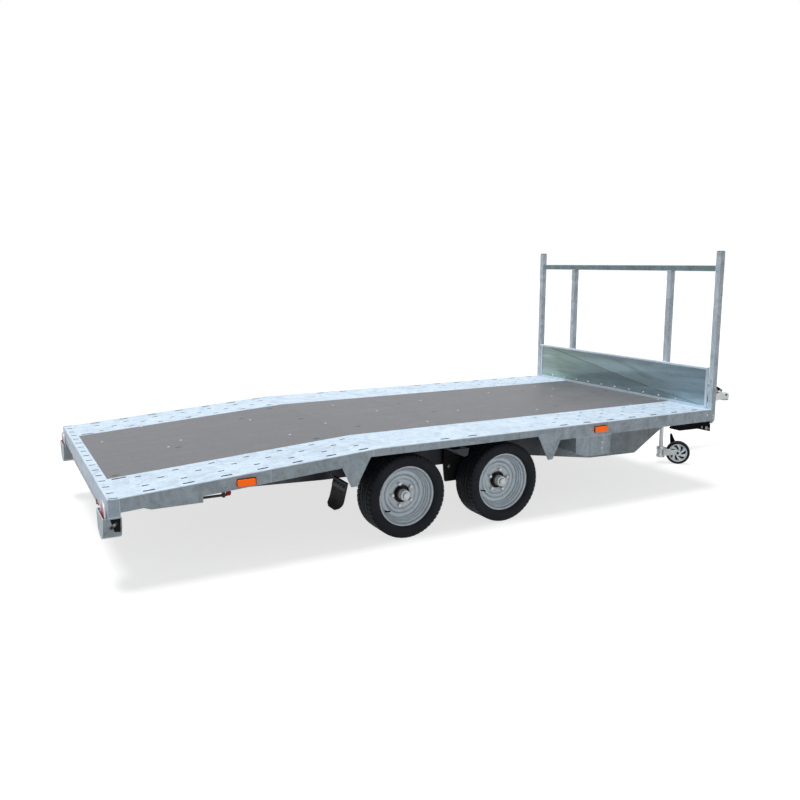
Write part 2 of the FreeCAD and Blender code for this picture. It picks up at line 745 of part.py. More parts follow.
def make_cross_members():
    reaches = {
        "wide": HALF - SHEET_T,
        "flange": HALF - S["rail_flange"],
        "narrow": S["chassis_half"],
    }
    members = []
    for index, (place, reach) in enumerate(DECK_MEMBERS):
        body = new_body("deck_member_%d" % (index + 1))
        section = channel_loop(along(place), MEMBER_TOP)
        pad(body, "XZ_Plane", [section], reaches[reach] * 2, middle=True)
        members.append(body)
    keep(group("cross_members_deck", members))
    members = []
    for index in range(TAIL_MEMBERS):
        body = new_body("tail_member_%d" % (index + 1))
        place = tail_member_place(index)
        section = channel_loop(place, deck_line(place) - S["board_thick"], SLOPE)
        pad(body, "XZ_Plane", [section], reaches["wide"] * 2, middle=True)
        members.append(body)
    keep(group("cross_members_tail", members))


# Chassis beams

def make_chassis_beams():
    wall = S["chassis_wall"]
    tail_top = deck_line(BEAM_FRONT) - S["board_thick"] - S["member_deep"]
    tail_low = tail_top - wall * 4
    start_low = S["chassis_low"]
    bend = along(-S["kink_back"] * 2)
    nose_back = along(S["chassis_nose_back"])
    nose = along(S["chassis_nose_x"])
    nose_low = S["chassis_nose_low"]
    end_low = CHASSIS_TOP - wall * 6
    lower = [
        (BEAM_FRONT, tail_low),
        (bend, start_low),
        (along(S["axle_spacing"] + S["wheel_radius"]), start_low),
        (nose_back, nose_low + wall * 2),
        (nose, nose_low),
        (FRONT - S["member_wide"], end_low),
    ]
    upper = [
        (FRONT - S["member_wide"], CHASSIS_TOP),
        (KINK, CHASSIS_TOP),
        (BEAM_FRONT, tail_top),
    ]
    rear, front = along(S["hanger_at"]), along(S["hanger_at"] + S["hanger_long"])
    hang_top = start_low + S["hanger_wide"] * 2
    toe = S["hanger_long"] / 5
    hanger = [
        (rear - toe, hang_top), (rear, S["hanger_low"]), (front, S["hanger_low"]),
        (front + toe, hang_top),
    ]
    for side_name, side in SIDES:
        body = new_body("chassis_beam_" + side_name)
        inward = side < 0
        pad(body, "XZ_Plane", [lower + upper], wall, inward)
        shelf = lower + [(x, z + wall) for x, z in reversed(lower)]
        pad(body, "XZ_Plane", [shelf], S["chassis_flange"], inward)
        head = upper + [(x, z - wall) for x, z in reversed(upper)]
        pad(body, "XZ_Plane", [head], S["chassis_flange"], inward)
        pad(body, "XZ_Plane", [hanger], S["hanger_wide"], not inward)
        place_body(body, (0, side * S["chassis_half"], 0))
        keep(body)


# Axles: a square tube under the chassis, two trailing arms and two stub axles

def make_axles():
    top = S["chassis_low"]
    low = top - S["tube_size"]
    for name, wheel in (("axle_rear", 0), ("axle_front", S["axle_spacing"])):
        centre = along(wheel)
        tube_back = centre + S["arm_lead"] - S["tube_size"] / 2
        pieces = [tube_box(
            name + "_tube",
            (tube_back, -S["arm_inner"], low),
            (tube_back + S["tube_size"], S["arm_inner"], top),
            S["tube_wall"], 1,
        )]
        for side_name, side in SIDES:
            arm = new_body("%s_arm_%s" % (name, side_name))
            eye = S["spindle_radius"] + 12
            outline = [
                (centre - eye, S["wheel_radius"] - eye / 2),
                (centre - eye / 2, S["wheel_radius"] - eye),
                (centre + eye / 2, S["wheel_radius"] - eye),
                (tube_back + S["tube_size"], low + S["tube_wall"]),
                (tube_back + S["tube_size"], top - S["tube_wall"]),
                (tube_back + S["tube_wall"], top - S["tube_wall"]),
                (centre - eye / 2, S["wheel_radius"] + eye),
                (centre - eye, S["wheel_radius"] + eye / 2),
            ]
            pad(arm, "XZ_Plane", [outline], S["arm_thick"], reverse=side > 0)
            place_body(arm, (0, side * S["arm_inner"], 0))
            spindle = rod(
                "%s_spindle_%s" % (name, side_name),
                (centre, side * S["arm_inner"], S["wheel_radius"]),
                S["spindle_radius"], S["spindle_end"] - S["arm_inner"],
                Vector(1, 0, 0), -90 * side,
            )
            pieces += [arm, spindle]
        keep(fused(name, pieces))


# Road wheels: tyre, rim and hub

WHEELS = [
    # name, place along from the rear axle, side
    ("rear_right", 0, -1),
    ("rear_left", 0, 1),
    ("front_right", S["axle_spacing"], -1),
    ("front_left", S["axle_spacing"], 1),
]


WHEEL_SIDES = 36
DRUM_SIDES = 24
CAP_SIDES = 16


def turned(name, sections, sides):
    """A form with flat faces about the Y axis, from sections (place along Y, corner radius)."""
    rings = []
    for index, (axial, radius) in enumerate(sections):
        ring = DOC.addObject("Part::RegularPolygon", "%s_ring_%d" % (name, index))
        ring.Polygon = sides
        bind(ring, "Circumradius", radius)
        ring.Placement = Placement(Vector(0, 0, 0), Rotation(Vector(1, 0, 0), -90))
        bind(ring, "Placement.Base.y", axial)
        rings.append(ring)
    form = DOC.addObject("Part::Loft", name)
    form.Label = name
    form.Sections = rings
    form.Solid = True
    form.Ruled = True
    return form


def make_tyre_form():
    half, radius = S["tyre_width"] / 2, S["wheel_radius"]
    shoulder = S["tyre_shoulder"]
    bead = S["rim_half"] - S["rim_lip"]
    wall = radius - shoulder * 1.75
    outboard = [(half - shoulder / 2, radius), (half, wall), (bead, S["rim_radius"])]
    sections = [(-axial, r) for axial, r in reversed(outboard)] + outboard
    form = turned("tyre_form", sections, WHEEL_SIDES)
    bore = turned("tyre_bore", [(-half, S["rim_seat"]), (half, S["rim_seat"])], WHEEL_SIDES)
    return cut_from("tyre", form, bore)


def make_rim_form():
    """Barrel with two flanges, hollowed from both sides down to the wheel's disc."""
    half, lip, wall = S["rim_half"], S["rim_lip"], S["rim_wall"]
    seat, flange = S["rim_seat"], S["rim_radius"]
    face = half - S["rim_dish"]
    back = face - S["disc_thick"]
    solid = fused("rim_solid", [
        turned("rim_barrel", [(lip - half, seat), (half - lip, seat)], WHEEL_SIDES),
        turned("rim_flange_out", [(half - lip, flange), (half, flange)], WHEEL_SIDES),
        turned("rim_flange_in", [(-half, flange), (lip - half, flange)], WHEEL_SIDES),
    ])
    hollows = fused("rim_hollows", [
        turned("rim_hollow_in", [(-half - lip, seat - wall), (back, S["disc_radius"])], WHEEL_SIDES),
        turned("rim_hollow_out", [
            (face, S["disc_radius"]), (half - lip * 1.5, seat - wall), (half + lip, flange - wall),
        ], WHEEL_SIDES),
        turned("rim_bore", [(-half, S["hub_bore"]), (half, S["hub_bore"])], WHEEL_SIDES),
    ])
    return cut_from("rim", solid, hollows)


def make_hub_form():
    """Drum, centre boss and grease cap, bored for the stub axle."""
    flange = S["rim_half"] - S["rim_dish"] - S["disc_thick"]
    drum = turned("hub_drum", [
        (-S["drum_long"], S["drum_radius"]), (flange, S["drum_radius"]),
    ], DRUM_SIDES)
    cap = turned("hub_cap", [
        (-S["drum_long"] / 2, S["cap_radius"]), (S["cap_long"], S["cap_radius"]),
    ], CAP_SIDES)
    bore_long = S["spindle_long"] + S["spindle_radius"] / 4
    start = S["drum_long"] + S["spindle_radius"]
    bore = rod(
        "hub_bore_cut", (0, -start, 0), S["spindle_radius"] + S["spindle_play"],
        start + bore_long, Vector(1, 0, 0), -90,
    )
    return cut_from("hub", fused("hub_solid", [drum, cap]), bore)


def make_wheels():
    forms = (("tyre", make_tyre_form()), ("rim", make_rim_form()), ("hub", make_hub_form()))
    upright = Vector(0, 0, 1)
    for where, place, side in WHEELS:
        for piece, form in forms:
            item = group("%s_%s" % (piece, where), [form])
            centre = (along(place), side * S["wheel_half_track"], S["wheel_radius"])
            place_body(item, centre, (upright, 180) if side < 0 else None)
            keep(item)


# Headboard: corner posts with rounded feet, bars, two uprights and the lower panel

def make_headboard():
    post = S["post_size"]
    front = FRONT + post
    inner = HALF - post
    foot = S["post_foot"]
    bar_low = S["bar_top"] - post
    outline = [
        (FRONT, foot), (FRONT + post * 0.35, foot), (FRONT + post * 0.75, foot + post * 0.2),
        (FRONT + post * 0.95, foot + post * 0.5), (front, foot + post * 0.85),
        (front, S["post_top"]), (FRONT, S["post_top"]),
    ]
    pieces = []
    for side_name, side in SIDES:
        body = new_body("corner_post_" + side_name)
        pad(body, "XZ_Plane", [outline], post, side < 0)
        place_body(body, (0, side * HALF, 0))
        middle = side * S["upright_at"]
        upright = plain_box(
            "upright_" + side_name,
            (FRONT, middle - post / 2, DECK),
            (front, middle + post / 2, bar_low),
        )
        pieces += [body, upright]
    for name, low, high in (
        ("top_bar", bar_low, S["bar_top"]),
        ("bottom_bar", DECK - S["member_deep"], DECK),
    ):
        pieces.append(plain_box(name, (FRONT, -inner, low), (front, inner, high)))
    keep(fused("headboard_frame", pieces))

    body = new_body("headboard_panel")
    edge, thick = S["panel_edge"], S["panel_thick"]
    low, high = DECK + S["panel_play"], S["panel_top"]
    half = inner - S["panel_play"]
    sheet = rectangle((-half, low), (half, high))
    top_fold = rectangle((-half, high - thick), (half, high))
    left_fold = rectangle((half - thick, low), (half, high))
    right_fold = rectangle((-half, low), (thick - half, high))
    pad(body, "YZ_Plane", [sheet], thick, reverse=True)
    for fold in (top_fold, left_fold, right_fold):
        pad(body, "YZ_Plane", [fold], edge, reverse=True)
    place_body(body, (FRONT, 0, 0))
    keep(body)


# Drawbar: two arms on a cross beam, hung from the deck's front edge

def arm_outer(place):
    """Outer face of a drawbar arm, from the centre line, at a distance from the rear axle."""
    run = S["drawbar_meet"] - S["drawbar_root"]
    return ARM_ROOT - (place - S["drawbar_root"]) * (ARM_ROOT - ARM_TIP) / run


ARM_ROOT = S["chassis_half"] - S["chassis_flange"] - S["drawbar_gap"]
ARM_TIP = S["housing_wide"] / 2 + S["drawbar_wide"]
ARM_TOP = S["drawbar_low"] + S["drawbar_deep"]


def make_drawbar_arms():
    low, wide = S["drawbar_low"], S["drawbar_wide"]
    root, meet = along(S["drawbar_root"]), along(S["drawbar_meet"])
    end = meet + S["drawbar_cheek"]
    body = new_body("drawbar_arm_right_piece")
    outline = [
        (root, -ARM_ROOT), (meet, -ARM_TIP), (end, -ARM_TIP), (end, wide - ARM_TIP),
        (meet, wide - ARM_TIP), (root, wide - ARM_ROOT),
    ]
    pad(body, "XY_Plane", [outline], S["drawbar_deep"], offset=low)
    reach = S["chassis_half"] - S["chassis_wall"]
    beam = plain_box("drawbar_cross_beam", (root, -reach, low), (root + wide, reach, ARM_TOP))
    hang_at = S["deck_front"] - S["member_wide"]
    outer = arm_outer(hang_at + S["hanger_thick"])
    hanger = plain_box(
        "drawbar_hanger_right_piece",
        (along(hang_at), -outer, ARM_TOP),
        (along(hang_at) + S["hanger_thick"], wide / 2 - outer, CHASSIS_TOP),
    )
    keep(fused("drawbar_arms", [
        body, mirrored("drawbar_arm_left_piece", body), beam,
        hanger, mirrored("drawbar_hanger_left_piece", hanger),
    ]))


# Lever pivots: two ears with a pin between them

def pivot_ears(name, place, floor, gap):
    """Ears that stand on a floor at a place along the trailer, either side of a lever."""
    rise, thick = S["pivot_rise"], S["ear_thick"]
    reach = gap / 2 + S["side_play"]
    half = S["pivot_radius"] * 2
    pieces = []
    for side_name, side in SIDES:
        a, b = (reach, reach + thick) if side > 0 else (-reach - thick, -reach)
        pieces.append(plain_box(
            "%s_ear_%s" % (name, side_name),
            (place - half, a, floor), (place + half, b, floor + rise + half),
        ))
    pieces.append(rod(
        name + "_pin", (place, reach + thick, floor + rise), S["pivot_radius"],
        (reach + thick) * 2, Vector(1, 0, 0), 90,
    ))
    return pieces


def lever_body(name, place, floor, thick, outline):
    """A flat lever round a pivot; its outline is given from the pivot's axis."""
    pivot = floor + S["pivot_rise"]
    body = new_body(name)
    points = [(place + x, pivot + z) for x, z in outline]
    pad(body, "XZ_Plane", [points], thick, middle=True)
    sketch = new_sketch(body, name + "_eye_outline", "XZ_Plane")
    draw_circle(sketch, (place, pivot), S["pivot_radius"] + S["spindle_play"])
    eye = body.newObject("PartDesign::Pocket", name + "_eye")
    eye.Profile = sketch
    eye.Type = "ThroughAll"
    eye.Midplane = True
    place_body(body)
    return body


# Overrun gear: housing, parking lever, shaft with its gaiter, coupling head and handle

GAITER_FOLDS = 4
GAITER_SIDES = 16


def make_overrun():
    low, half = S["drawbar_low"], S["housing_wide"] / 2
    back = along(S["drawbar_meet"])
    front = back + S["housing_long"]
    top = ARM_TOP + S["housing_deep"] / 2
    shell = new_body("housing_shell")
    outline = [
        (back, low), (front, low), (front, top - half / 2),
        (front - half, top), (back + half, top), (back, top - half),
    ]
    pad(shell, "XZ_Plane", [outline], S["housing_wide"], middle=True)
    pivot = along(S["lever_pivot"])
    ears = pivot_ears("parking", pivot, top, S["lever_thick"])
    keep(fused("overrun_housing", [shell] + ears))

    eye, long = S["pivot_radius"] * 2.2, S["lever_long"]
    outline = [
        (-eye, -eye), (eye, -eye), (eye, eye), (long * -0.44, long * 0.9),
        (long * -0.52, long * 0.86), (-eye, eye),
    ]
    keep(lever_body("parking_lever", pivot, top, S["lever_thick"], outline))

    axis_z = S["ball_height"]
    neck = along(S["ball_at"] - S["head_long"])
    keep(rod("towing_shaft", (front, 0, axis_z), S["shaft_radius"], neck - front, Vector(0, 1, 0), 90))
    keep(make_gaiter(front, neck, axis_z))


def make_gaiter(front, neck, axis_z):
    """Rubber folds round the shaft, along the trailer's long axis."""
    inner, outer = S["shaft_radius"], S["gaiter_radius"]
    fold = (neck - front) / (GAITER_FOLDS * 2)
    ridges = []
    for index in range(GAITER_FOLDS * 2 + 1):
        ridges.append((-fold * index, outer if index % 2 else (inner + outer) / 2))
    folds = turned("gaiter_folds", ridges, GAITER_SIDES)
    bore = rod(
        "gaiter_bore", (0, fold, 0), inner, fold * (GAITER_FOLDS * 2 + 2), Vector(1, 0, 0), 90)
    gaiter = cut_from("shaft_gaiter", folds, bore)
    place_body(gaiter, (front, 0, axis_z), (Vector(0, 0, 1), 90))
    return gaiter


def make_coupling():
    axis_z, ball = S["ball_height"], S["ball_radius"]
    ball_x = along(S["ball_at"])
    neck = along(S["ball_at"] - S["head_long"])
    roof = axis_z + S["socket_depth"]
    half = S["shaft_radius"]
    dome = rod("head_dome", (ball_x, 0, axis_z - ball), S["head_radius"], roof - axis_z + ball)
    sleeve = rod("head_sleeve", (neck, 0, axis_z), S["neck_radius"], S["head_long"] / 2, Vector(0, 1, 0), 90)
    bridge = new_body("head_bridge")
    outline = [
        (neck + S["head_long"] / 3, axis_z - half), (ball_x, axis_z - ball), (ball_x, roof),
        (neck + S["head_long"] / 2, roof), (neck + S["head_long"] / 3, axis_z + half),
    ]
    pad(bridge, "XZ_Plane", [outline], half * 2, middle=True)
    pivot = ball_x - S["handle_at"]
    ears = pivot_ears("handle", pivot, roof, S["handle_wide"])
    solid = fused("head_solid", [dome, sleeve, bridge] + ears)
    socket = rod("head_socket", (ball_x, 0, axis_z - ball * 2), ball, S["socket_depth"] + ball)
    keep(cut_from("coupling_head", solid, socket))

    eye = S["pivot_radius"] * 2
    grip = S["head_long"] * 0.75
    outline = [
        (-eye, -eye), (eye, -eye), (eye * 1.3, eye), (0, eye * 1.4),
        (-grip * 0.7, eye * 5), (-grip, eye * 4.6), (-grip, eye * 3.4), (-grip * 0.6, eye * 3),
    ]
    keep(lever_body("coupling_handle", pivot, roof, S["handle_wide"], outline))


# Jockey: outer tube with crank and clamp, inner leg, swivelling fork and wheel

ARM_ANGLE = slope_angle(ARM_ROOT - ARM_TIP, S["drawbar_meet"] - S["drawbar_root"])
JOCKEY_X = along(S["jockey_at"])
JOCKEY_OFFSET = S["jockey_tube"] + S["arm_gap"]
JOCKEY_Y = -arm_outer(S["jockey_at"]) - JOCKEY_OFFSET / cosine(ARM_ANGLE)


def make_jockey_tube():
    radius, low, top = S["jockey_tube"], S["jockey_low"], S["jockey_top"]
    outer = rod("jockey_outer", (0, 0, low), radius, top - low)
    clamp_low = S["jockey_clamp_low"]
    clamp = plain_box(
        "jockey_clamp", (-radius * 1.2, -radius * 1.2, clamp_low),
        (radius * 1.2, JOCKEY_OFFSET, clamp_low + S["jockey_clamp"]),
    )
    pin = S["jockey_pin"]
    screw = rod("jockey_screw", (0, 0, top), pin, pin * 5)
    crank_z = top + pin * 3
    arm = rod("crank_arm", (0, 0, crank_z), pin, S["crank_reach"], Vector(0, 1, 0), 90)
    grip = rod(
        "crank_grip", (S["crank_reach"] - pin, 0, crank_z - S["crank_grip"]),
        pin * 2, S["crank_grip"] + pin * 2,
    )
    solid = fused("jockey_tube_solid", [outer, clamp, screw, arm, grip])
    bore = rod("jockey_bore", (0, 0, low), S["jockey_leg"] + S["jockey_play"], top - low - pin)
    tube = cut_from("jockey_tube", solid, bore)
    place_body(tube, (JOCKEY_X, JOCKEY_Y, 0), (Vector(0, 0, 1), ARM_ANGLE))
    keep(tube)


def fork_strap(name, side):
    """One side of the fork, rounded round the wheel's axle."""
    trail, half = S["jockey_trail"], S["jockey_strap"]
    thick = S["jockey_fork_wall"]
    reach = S["jockey_tread"] / 2 + thick
    strap = new_body(name)
    outline = [
        (0, -half), (trail, -half), (trail + half * 0.7, half * -0.7), (trail + half, 0),
        (trail + half * 0.7, half * 0.7), (trail, half), (0, half),
    ]
    pad(strap, "XZ_Plane", [outline], thick, reverse=side > 0)
    place_body(strap, (0, side * reach, S["jockey_wheel"]))
    return strap


def make_jockey_fork():
    trail, thick, pin = S["jockey_trail"], S["jockey_fork_wall"], S["jockey_pin"]
    axle_z, half = S["jockey_wheel"], S["jockey_strap"]
    reach = S["jockey_tread"] / 2 + thick * 2
    head_low, head_top = S["jockey_head_low"], S["jockey_head_top"]
    head = rod("swivel_head", (0, 0, head_low), S["jockey_head"], head_top - head_low)
    bridge = plain_box(
        "fork_bridge", (0, -reach, axle_z - half), (S["jockey_head"], reach, axle_z + half))
    axle = rod("jockey_axle", (trail, reach, axle_z), pin, reach * 2, Vector(1, 0, 0), 90)
    straps = [fork_strap("fork_strap_" + side_name, side) for side_name, side in SIDES]
    blade = new_body("fork_blade")
    tip = S["jockey_blade_top"]
    outline = [
        (trail * 0.55, axle_z + half), (trail, axle_z + half),
        (trail * 0.62, tip), (trail * 0.5, tip),
    ]
    pad(blade, "XZ_Plane", [outline], thick)
    place_body(blade, (0, reach, 0))
    solid = fused("jockey_fork_solid", [head, bridge, axle, blade] + straps)
    leg_low = S["jockey_leg_low"]
    bore = rod(
        "swivel_bore", (0, 0, leg_low - thick), S["jockey_leg"] + S["jockey_play"],
        head_top - leg_low + thick * 2,
    )
    fork = cut_from("jockey_fork", solid, bore)
    place_body(fork, (JOCKEY_X, JOCKEY_Y, 0), (Vector(0, 0, 1), S["jockey_turn"]))
    keep(fork)


JOCKEY_SIDES = 32


def make_jockey():
    make_jockey_tube()
    keep(rod(
        "jockey_leg", (JOCKEY_X, JOCKEY_Y, S["jockey_leg_low"]), S["jockey_leg"], S["jockey_leg_long"]))
    make_jockey_fork()
    turn, trail = S["jockey_turn"], S["jockey_trail"]
    centre = (
        JOCKEY_X + trail * cosine(turn),
        JOCKEY_Y + trail * sine(turn),
        S["jockey_wheel"],
    )
    half, radius, rim = S["jockey_tread"] / 2, S["jockey_wheel"], S["jockey_rim"]
    shoulder = (radius - rim) / 3
    form = turned("jockey_tyre_form", [
        (-half, radius - shoulder), (shoulder - half, radius),
        (half - shoulder, radius), (half, radius - shoulder),
    ], JOCKEY_SIDES)
    hollow = turned("jockey_tyre_hollow", [(-half * 2, rim), (half * 2, rim)], JOCKEY_SIDES)
    tyre = cut_from("jockey_tyre", form, hollow)
    disc = turned("jockey_rim_disc", [(-half, rim), (half, rim)], JOCKEY_SIDES)
    bore = rod(
        "jockey_rim_bore", (0, -half * 2, 0), S["jockey_pin"] + S["spindle_play"],
        half * 4, Vector(1, 0, 0), -90,
    )
    for item in (tyre, cut_from("jockey_rim", disc, bore)):
        place_body(item, centre, (Vector(0, 0, 1), turn))
        keep(item)


# Rear end: lamp guards, lamps and the board between them

def make_rear_end():
    low, thick = S["guard_low"], SHEET_T
    inner, outer, cut = S["guard_inner"], S["guard_outer"], S["guard_round"]
    under = TAIL_TOP - S["beam_deep"]

    def pan(gap):
        """Outline of a guard's rounded pan, kept inside by gap."""
        a, b, floor = -outer + gap, -inner - gap, low + gap
        return [
            (a, under), (a, floor + cut), (a + cut * 0.3, floor + cut * 0.3), (a + cut, floor),
            (b - cut, floor), (b - cut * 0.3, floor + cut * 0.3), (b, floor + cut), (b, under),
        ]

    guard = new_body("lamp_guard_right_piece")
    pad(guard, "YZ_Plane", [pan(0)], thick)
    rim = pan(0) + list(reversed(pan(thick)))
    pad(guard, "YZ_Plane", [rim], S["guard_long"])
    place_body(guard, (BACK - S["guard_back"], 0, 0))
    keep(group("lamp_guards", [guard, mirrored("lamp_guard_left_piece", guard)]))

    lamp = rod(
        "rear_lamp_right_piece", (BACK, -S["lamp_side"], S["lamp_height"]),
        S["lamp_radius"], S["lamp_thick"], Vector(0, 1, 0), -90,
    )
    keep(group("rear_lamps", [lamp, mirrored("rear_lamp_left_piece", lamp)]))

    body = new_body("rear_board")
    half = S["hatch_half"]
    pad(body, "YZ_Plane", [rectangle((-half, S["hatch_low"]), (half, under))], thick)
    place_body(body, (BACK + thick * 2, 0, 0))
    keep(body)


# Side markers and front lamp arms

def make_side_lamps():
    markers = []
    thick, long = S["marker_thick"], S["marker_long"]
    for name, place in (("tail", -S["marker_tail_at"]), ("front", S["marker_front_at"])):
        centre = along(place)
        top = (deck_line(centre) if name == "tail" else DECK) - S["marker_drop"]
        for side_name, side in SIDES:
            a, b = (HALF, HALF + thick) if side > 0 else (-HALF - thick, -HALF)
            markers.append(plain_box(
                "marker_%s_%s" % (name, side_name),
                (centre - long / 2, a, top - S["marker_high"]),
                (centre + long / 2, b, top),
            ))
    keep(group("side_markers", markers))

    wide, top = S["front_lamp_wide"], DECK - S["front_rail_depth"]
    start = FRONT - S["front_lamp_long"]
    nose = FRONT + SHEET_T
    arm = new_body("front_lamp_right_piece")
    outline = [
        (start, top), (start - wide * 0.65, top - wide * 0.65), (start + wide, top - wide * 1.1),
        (FRONT - wide * 3.2, top - wide * 1.15), (nose, top - wide * 1.95),
        (nose, top - wide * 0.65), (FRONT - wide / 2, top),
    ]
    pad(arm, "XZ_Plane", [outline], wide, reverse=True)
    place_body(arm, (0, SHEET_T - HALF, 0))
    keep(group("front_lamp_arms", [arm, mirrored("front_lamp_left_piece", arm)]))


# Mudflaps on bent brackets behind the rear wheels

def make_mudflaps():
    top, bend, low = S["flap_top"], S["flap_bend"], S["flap_low"]
    thick, plate = S["flap_thick"], S["flap_bracket"]
    at = along(-S["flap_at"])
    wide = S["flap_wide"]
    outer = -S["wheel_half_track"] - wide / 2

    def slant(height):
        """Rear face of the flap at a height, above its bend."""
        return at - (top - height) / 4

    toe = slant(bend) - (bend - low) / 2
    flap = new_body("mudflap_right_piece")
    pad(flap, "XZ_Plane", [[
        (slant(top), top), (slant(bend), bend), (toe, low),
        (toe + thick, low), (slant(bend) + thick, bend), (slant(top) + thick, top),
    ]], wide, reverse=True)
    member = tail_member_place(0) + plate * 2
    shelf = DECK - S["board_thick"] - S["member_deep"]
    knee = top + thick * 7
    bracket = new_body("mudflap_bracket_right_piece")
    pad(bracket, "XZ_Plane", [[
        (member, shelf - (KINK - member) * SLOPE),
        (member + plate, shelf - (KINK - member - plate) * SLOPE),
        (member + plate, knee + plate), (slant(top), top),
        (slant(top - wide / 4), top - wide / 4), (slant(top - wide / 4) - plate, top - wide / 4),
        (slant(top) - plate, top - plate), (member, knee),
    ]], wide, reverse=True)
    for body in (flap, bracket):
        place_body(body, (0, outer, 0))
    keep(group("mudflaps", [flap, mirrored("mudflap_left_piece", flap)]))
    keep(group("mudflap_brackets", [bracket, mirrored("mudflap_bracket_left_piece", bracket)]))


# Tool box, and the trays with the locking rods under the tail

def make_tool_box():
    back, front = along(S["box_back"]), along(S["box_front"])
    low, high = S["box_low"], DECK - S["front_rail_depth"]
    box = new_body("tool_box")
    outline = [
        (back, high), (back + SHEET_T, low + SHEET_T * 8), (back + SHEET_T * 22, low),
        (front, low), (front, high),
    ]
    pad(box, "XZ_Plane", [outline], S["box_outer"] - S["box_inner"], reverse=True)
    place_body(box, (0, -S["box_outer"], 0))
    keep(box)


def make_tail_fittings():
    back, front = along(-S["tray_back"]), along(-S["tray_front"])
    depth, low = S["tail_rail_depth"], S["tray_low"]
    tray = new_body("tail_tray_right_piece")
    outline = [
        (back, deck_line(back) - depth), (back + SHEET_T * 10, low), (front, low),
        (front, deck_line(front) - depth),
    ]
    pad(tray, "XZ_Plane", [outline], S["tray_wide"], reverse=True)
    place_body(tray, (0, SHEET_T - HALF, 0))
    keep(group("tail_trays", [tray, mirrored("tail_tray_left_piece", tray)]))

    end = along(-S["pin_front"])
    radius, height, side = S["pin_radius"], S["pin_height"], -S["pin_side"]
    bar = rod("locking_rod_bar", (front, side, height), radius, end - front, Vector(0, 1, 0), 90)
    bracket = new_body("locking_rod_bracket")
    block = S["pin_bracket"]
    pad(bracket, "XZ_Plane", [[
        (end - block * 2, height - radius * 1.5), (end - block, height - radius * 1.5),
        (end - block, deck_line(end - block) - depth),
        (end - block * 2, deck_line(end - block * 2) - depth),
    ]], radius * 3, middle=True)
    place_body(bracket, (0, side, 0))
    locking_rod = fused("locking_rod_right_piece", [bar, bracket])
    keep(group("locking_rods", [locking_rod, mirrored("locking_rod_left_piece", locking_rod)]))


def check_and_write():
    """Stop on a failed feature, then write each sub-part to its own file."""
    DOC.recompute()
    for item in DOC.Objects:
        bad = [state for state in item.State if state in ("Invalid", "Error")]
        if bad:
            raise RuntimeError("%s is %s" % (item.Name, bad))
    for item in NODES:
        shape = item.Shape
        if shape.isNull() or not shape.isValid() or not shape.Solids:
            raise RuntimeError("%s has no valid shape" % item.Label)
    os.makedirs("parts", exist_ok=True)
    for item in NODES:
        item.Shape.exportStep("parts/%s.step" % item.Label)
    print("%d sub-parts written" % len(NODES))


def main():
    make_side_rails()
    make_runways()
    make_rear_beam()
    make_boards()
    make_cross_members()
    make_chassis_beams()
    make_axles()
    make_wheels()
    make_headboard()
    make_drawbar_arms()
    make_overrun()
    make_coupling()
    make_jockey()
    make_rear_end()
    make_side_lamps()
    make_mudflaps()
    make_tool_box()
    make_tail_fittings()
    check_and_write()


main()
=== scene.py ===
"""Looks of the beavertail trailer: materials, detailed pieces, floor, light and camera."""
from math import copysign, cos, exp, pi, radians, sin, sqrt
import bmesh
import bpy
from mathutils import Euler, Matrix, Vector


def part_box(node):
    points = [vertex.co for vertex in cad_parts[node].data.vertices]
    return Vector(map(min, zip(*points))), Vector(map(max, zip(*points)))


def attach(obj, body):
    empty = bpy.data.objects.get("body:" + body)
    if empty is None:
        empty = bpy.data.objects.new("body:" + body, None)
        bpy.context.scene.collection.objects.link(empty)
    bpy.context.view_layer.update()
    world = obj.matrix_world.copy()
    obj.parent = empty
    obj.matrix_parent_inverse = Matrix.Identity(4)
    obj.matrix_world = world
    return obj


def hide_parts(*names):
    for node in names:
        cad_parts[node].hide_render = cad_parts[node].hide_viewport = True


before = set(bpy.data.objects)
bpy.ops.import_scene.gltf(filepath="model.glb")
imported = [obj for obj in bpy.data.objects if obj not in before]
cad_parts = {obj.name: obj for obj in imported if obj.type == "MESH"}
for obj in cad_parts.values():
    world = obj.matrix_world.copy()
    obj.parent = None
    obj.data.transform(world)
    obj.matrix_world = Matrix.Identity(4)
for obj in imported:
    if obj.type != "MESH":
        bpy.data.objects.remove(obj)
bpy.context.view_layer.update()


def middle(node):
    low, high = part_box(node)
    return (Vector(low) + Vector(high)) / 2


def mm(*points):
    """Points given in millimetres, in metres."""
    return [tuple(value / 1000 for value in point) for point in points]


def smoothstep(low, high, value):
    t = min(max((value - low) / (high - low), 0), 1)
    return t * t * (3 - 2 * t)


AXLE = middle("tyre_rear_right").x
SIDES = (("_right", -1), ("_left", 1))


# ---- materials

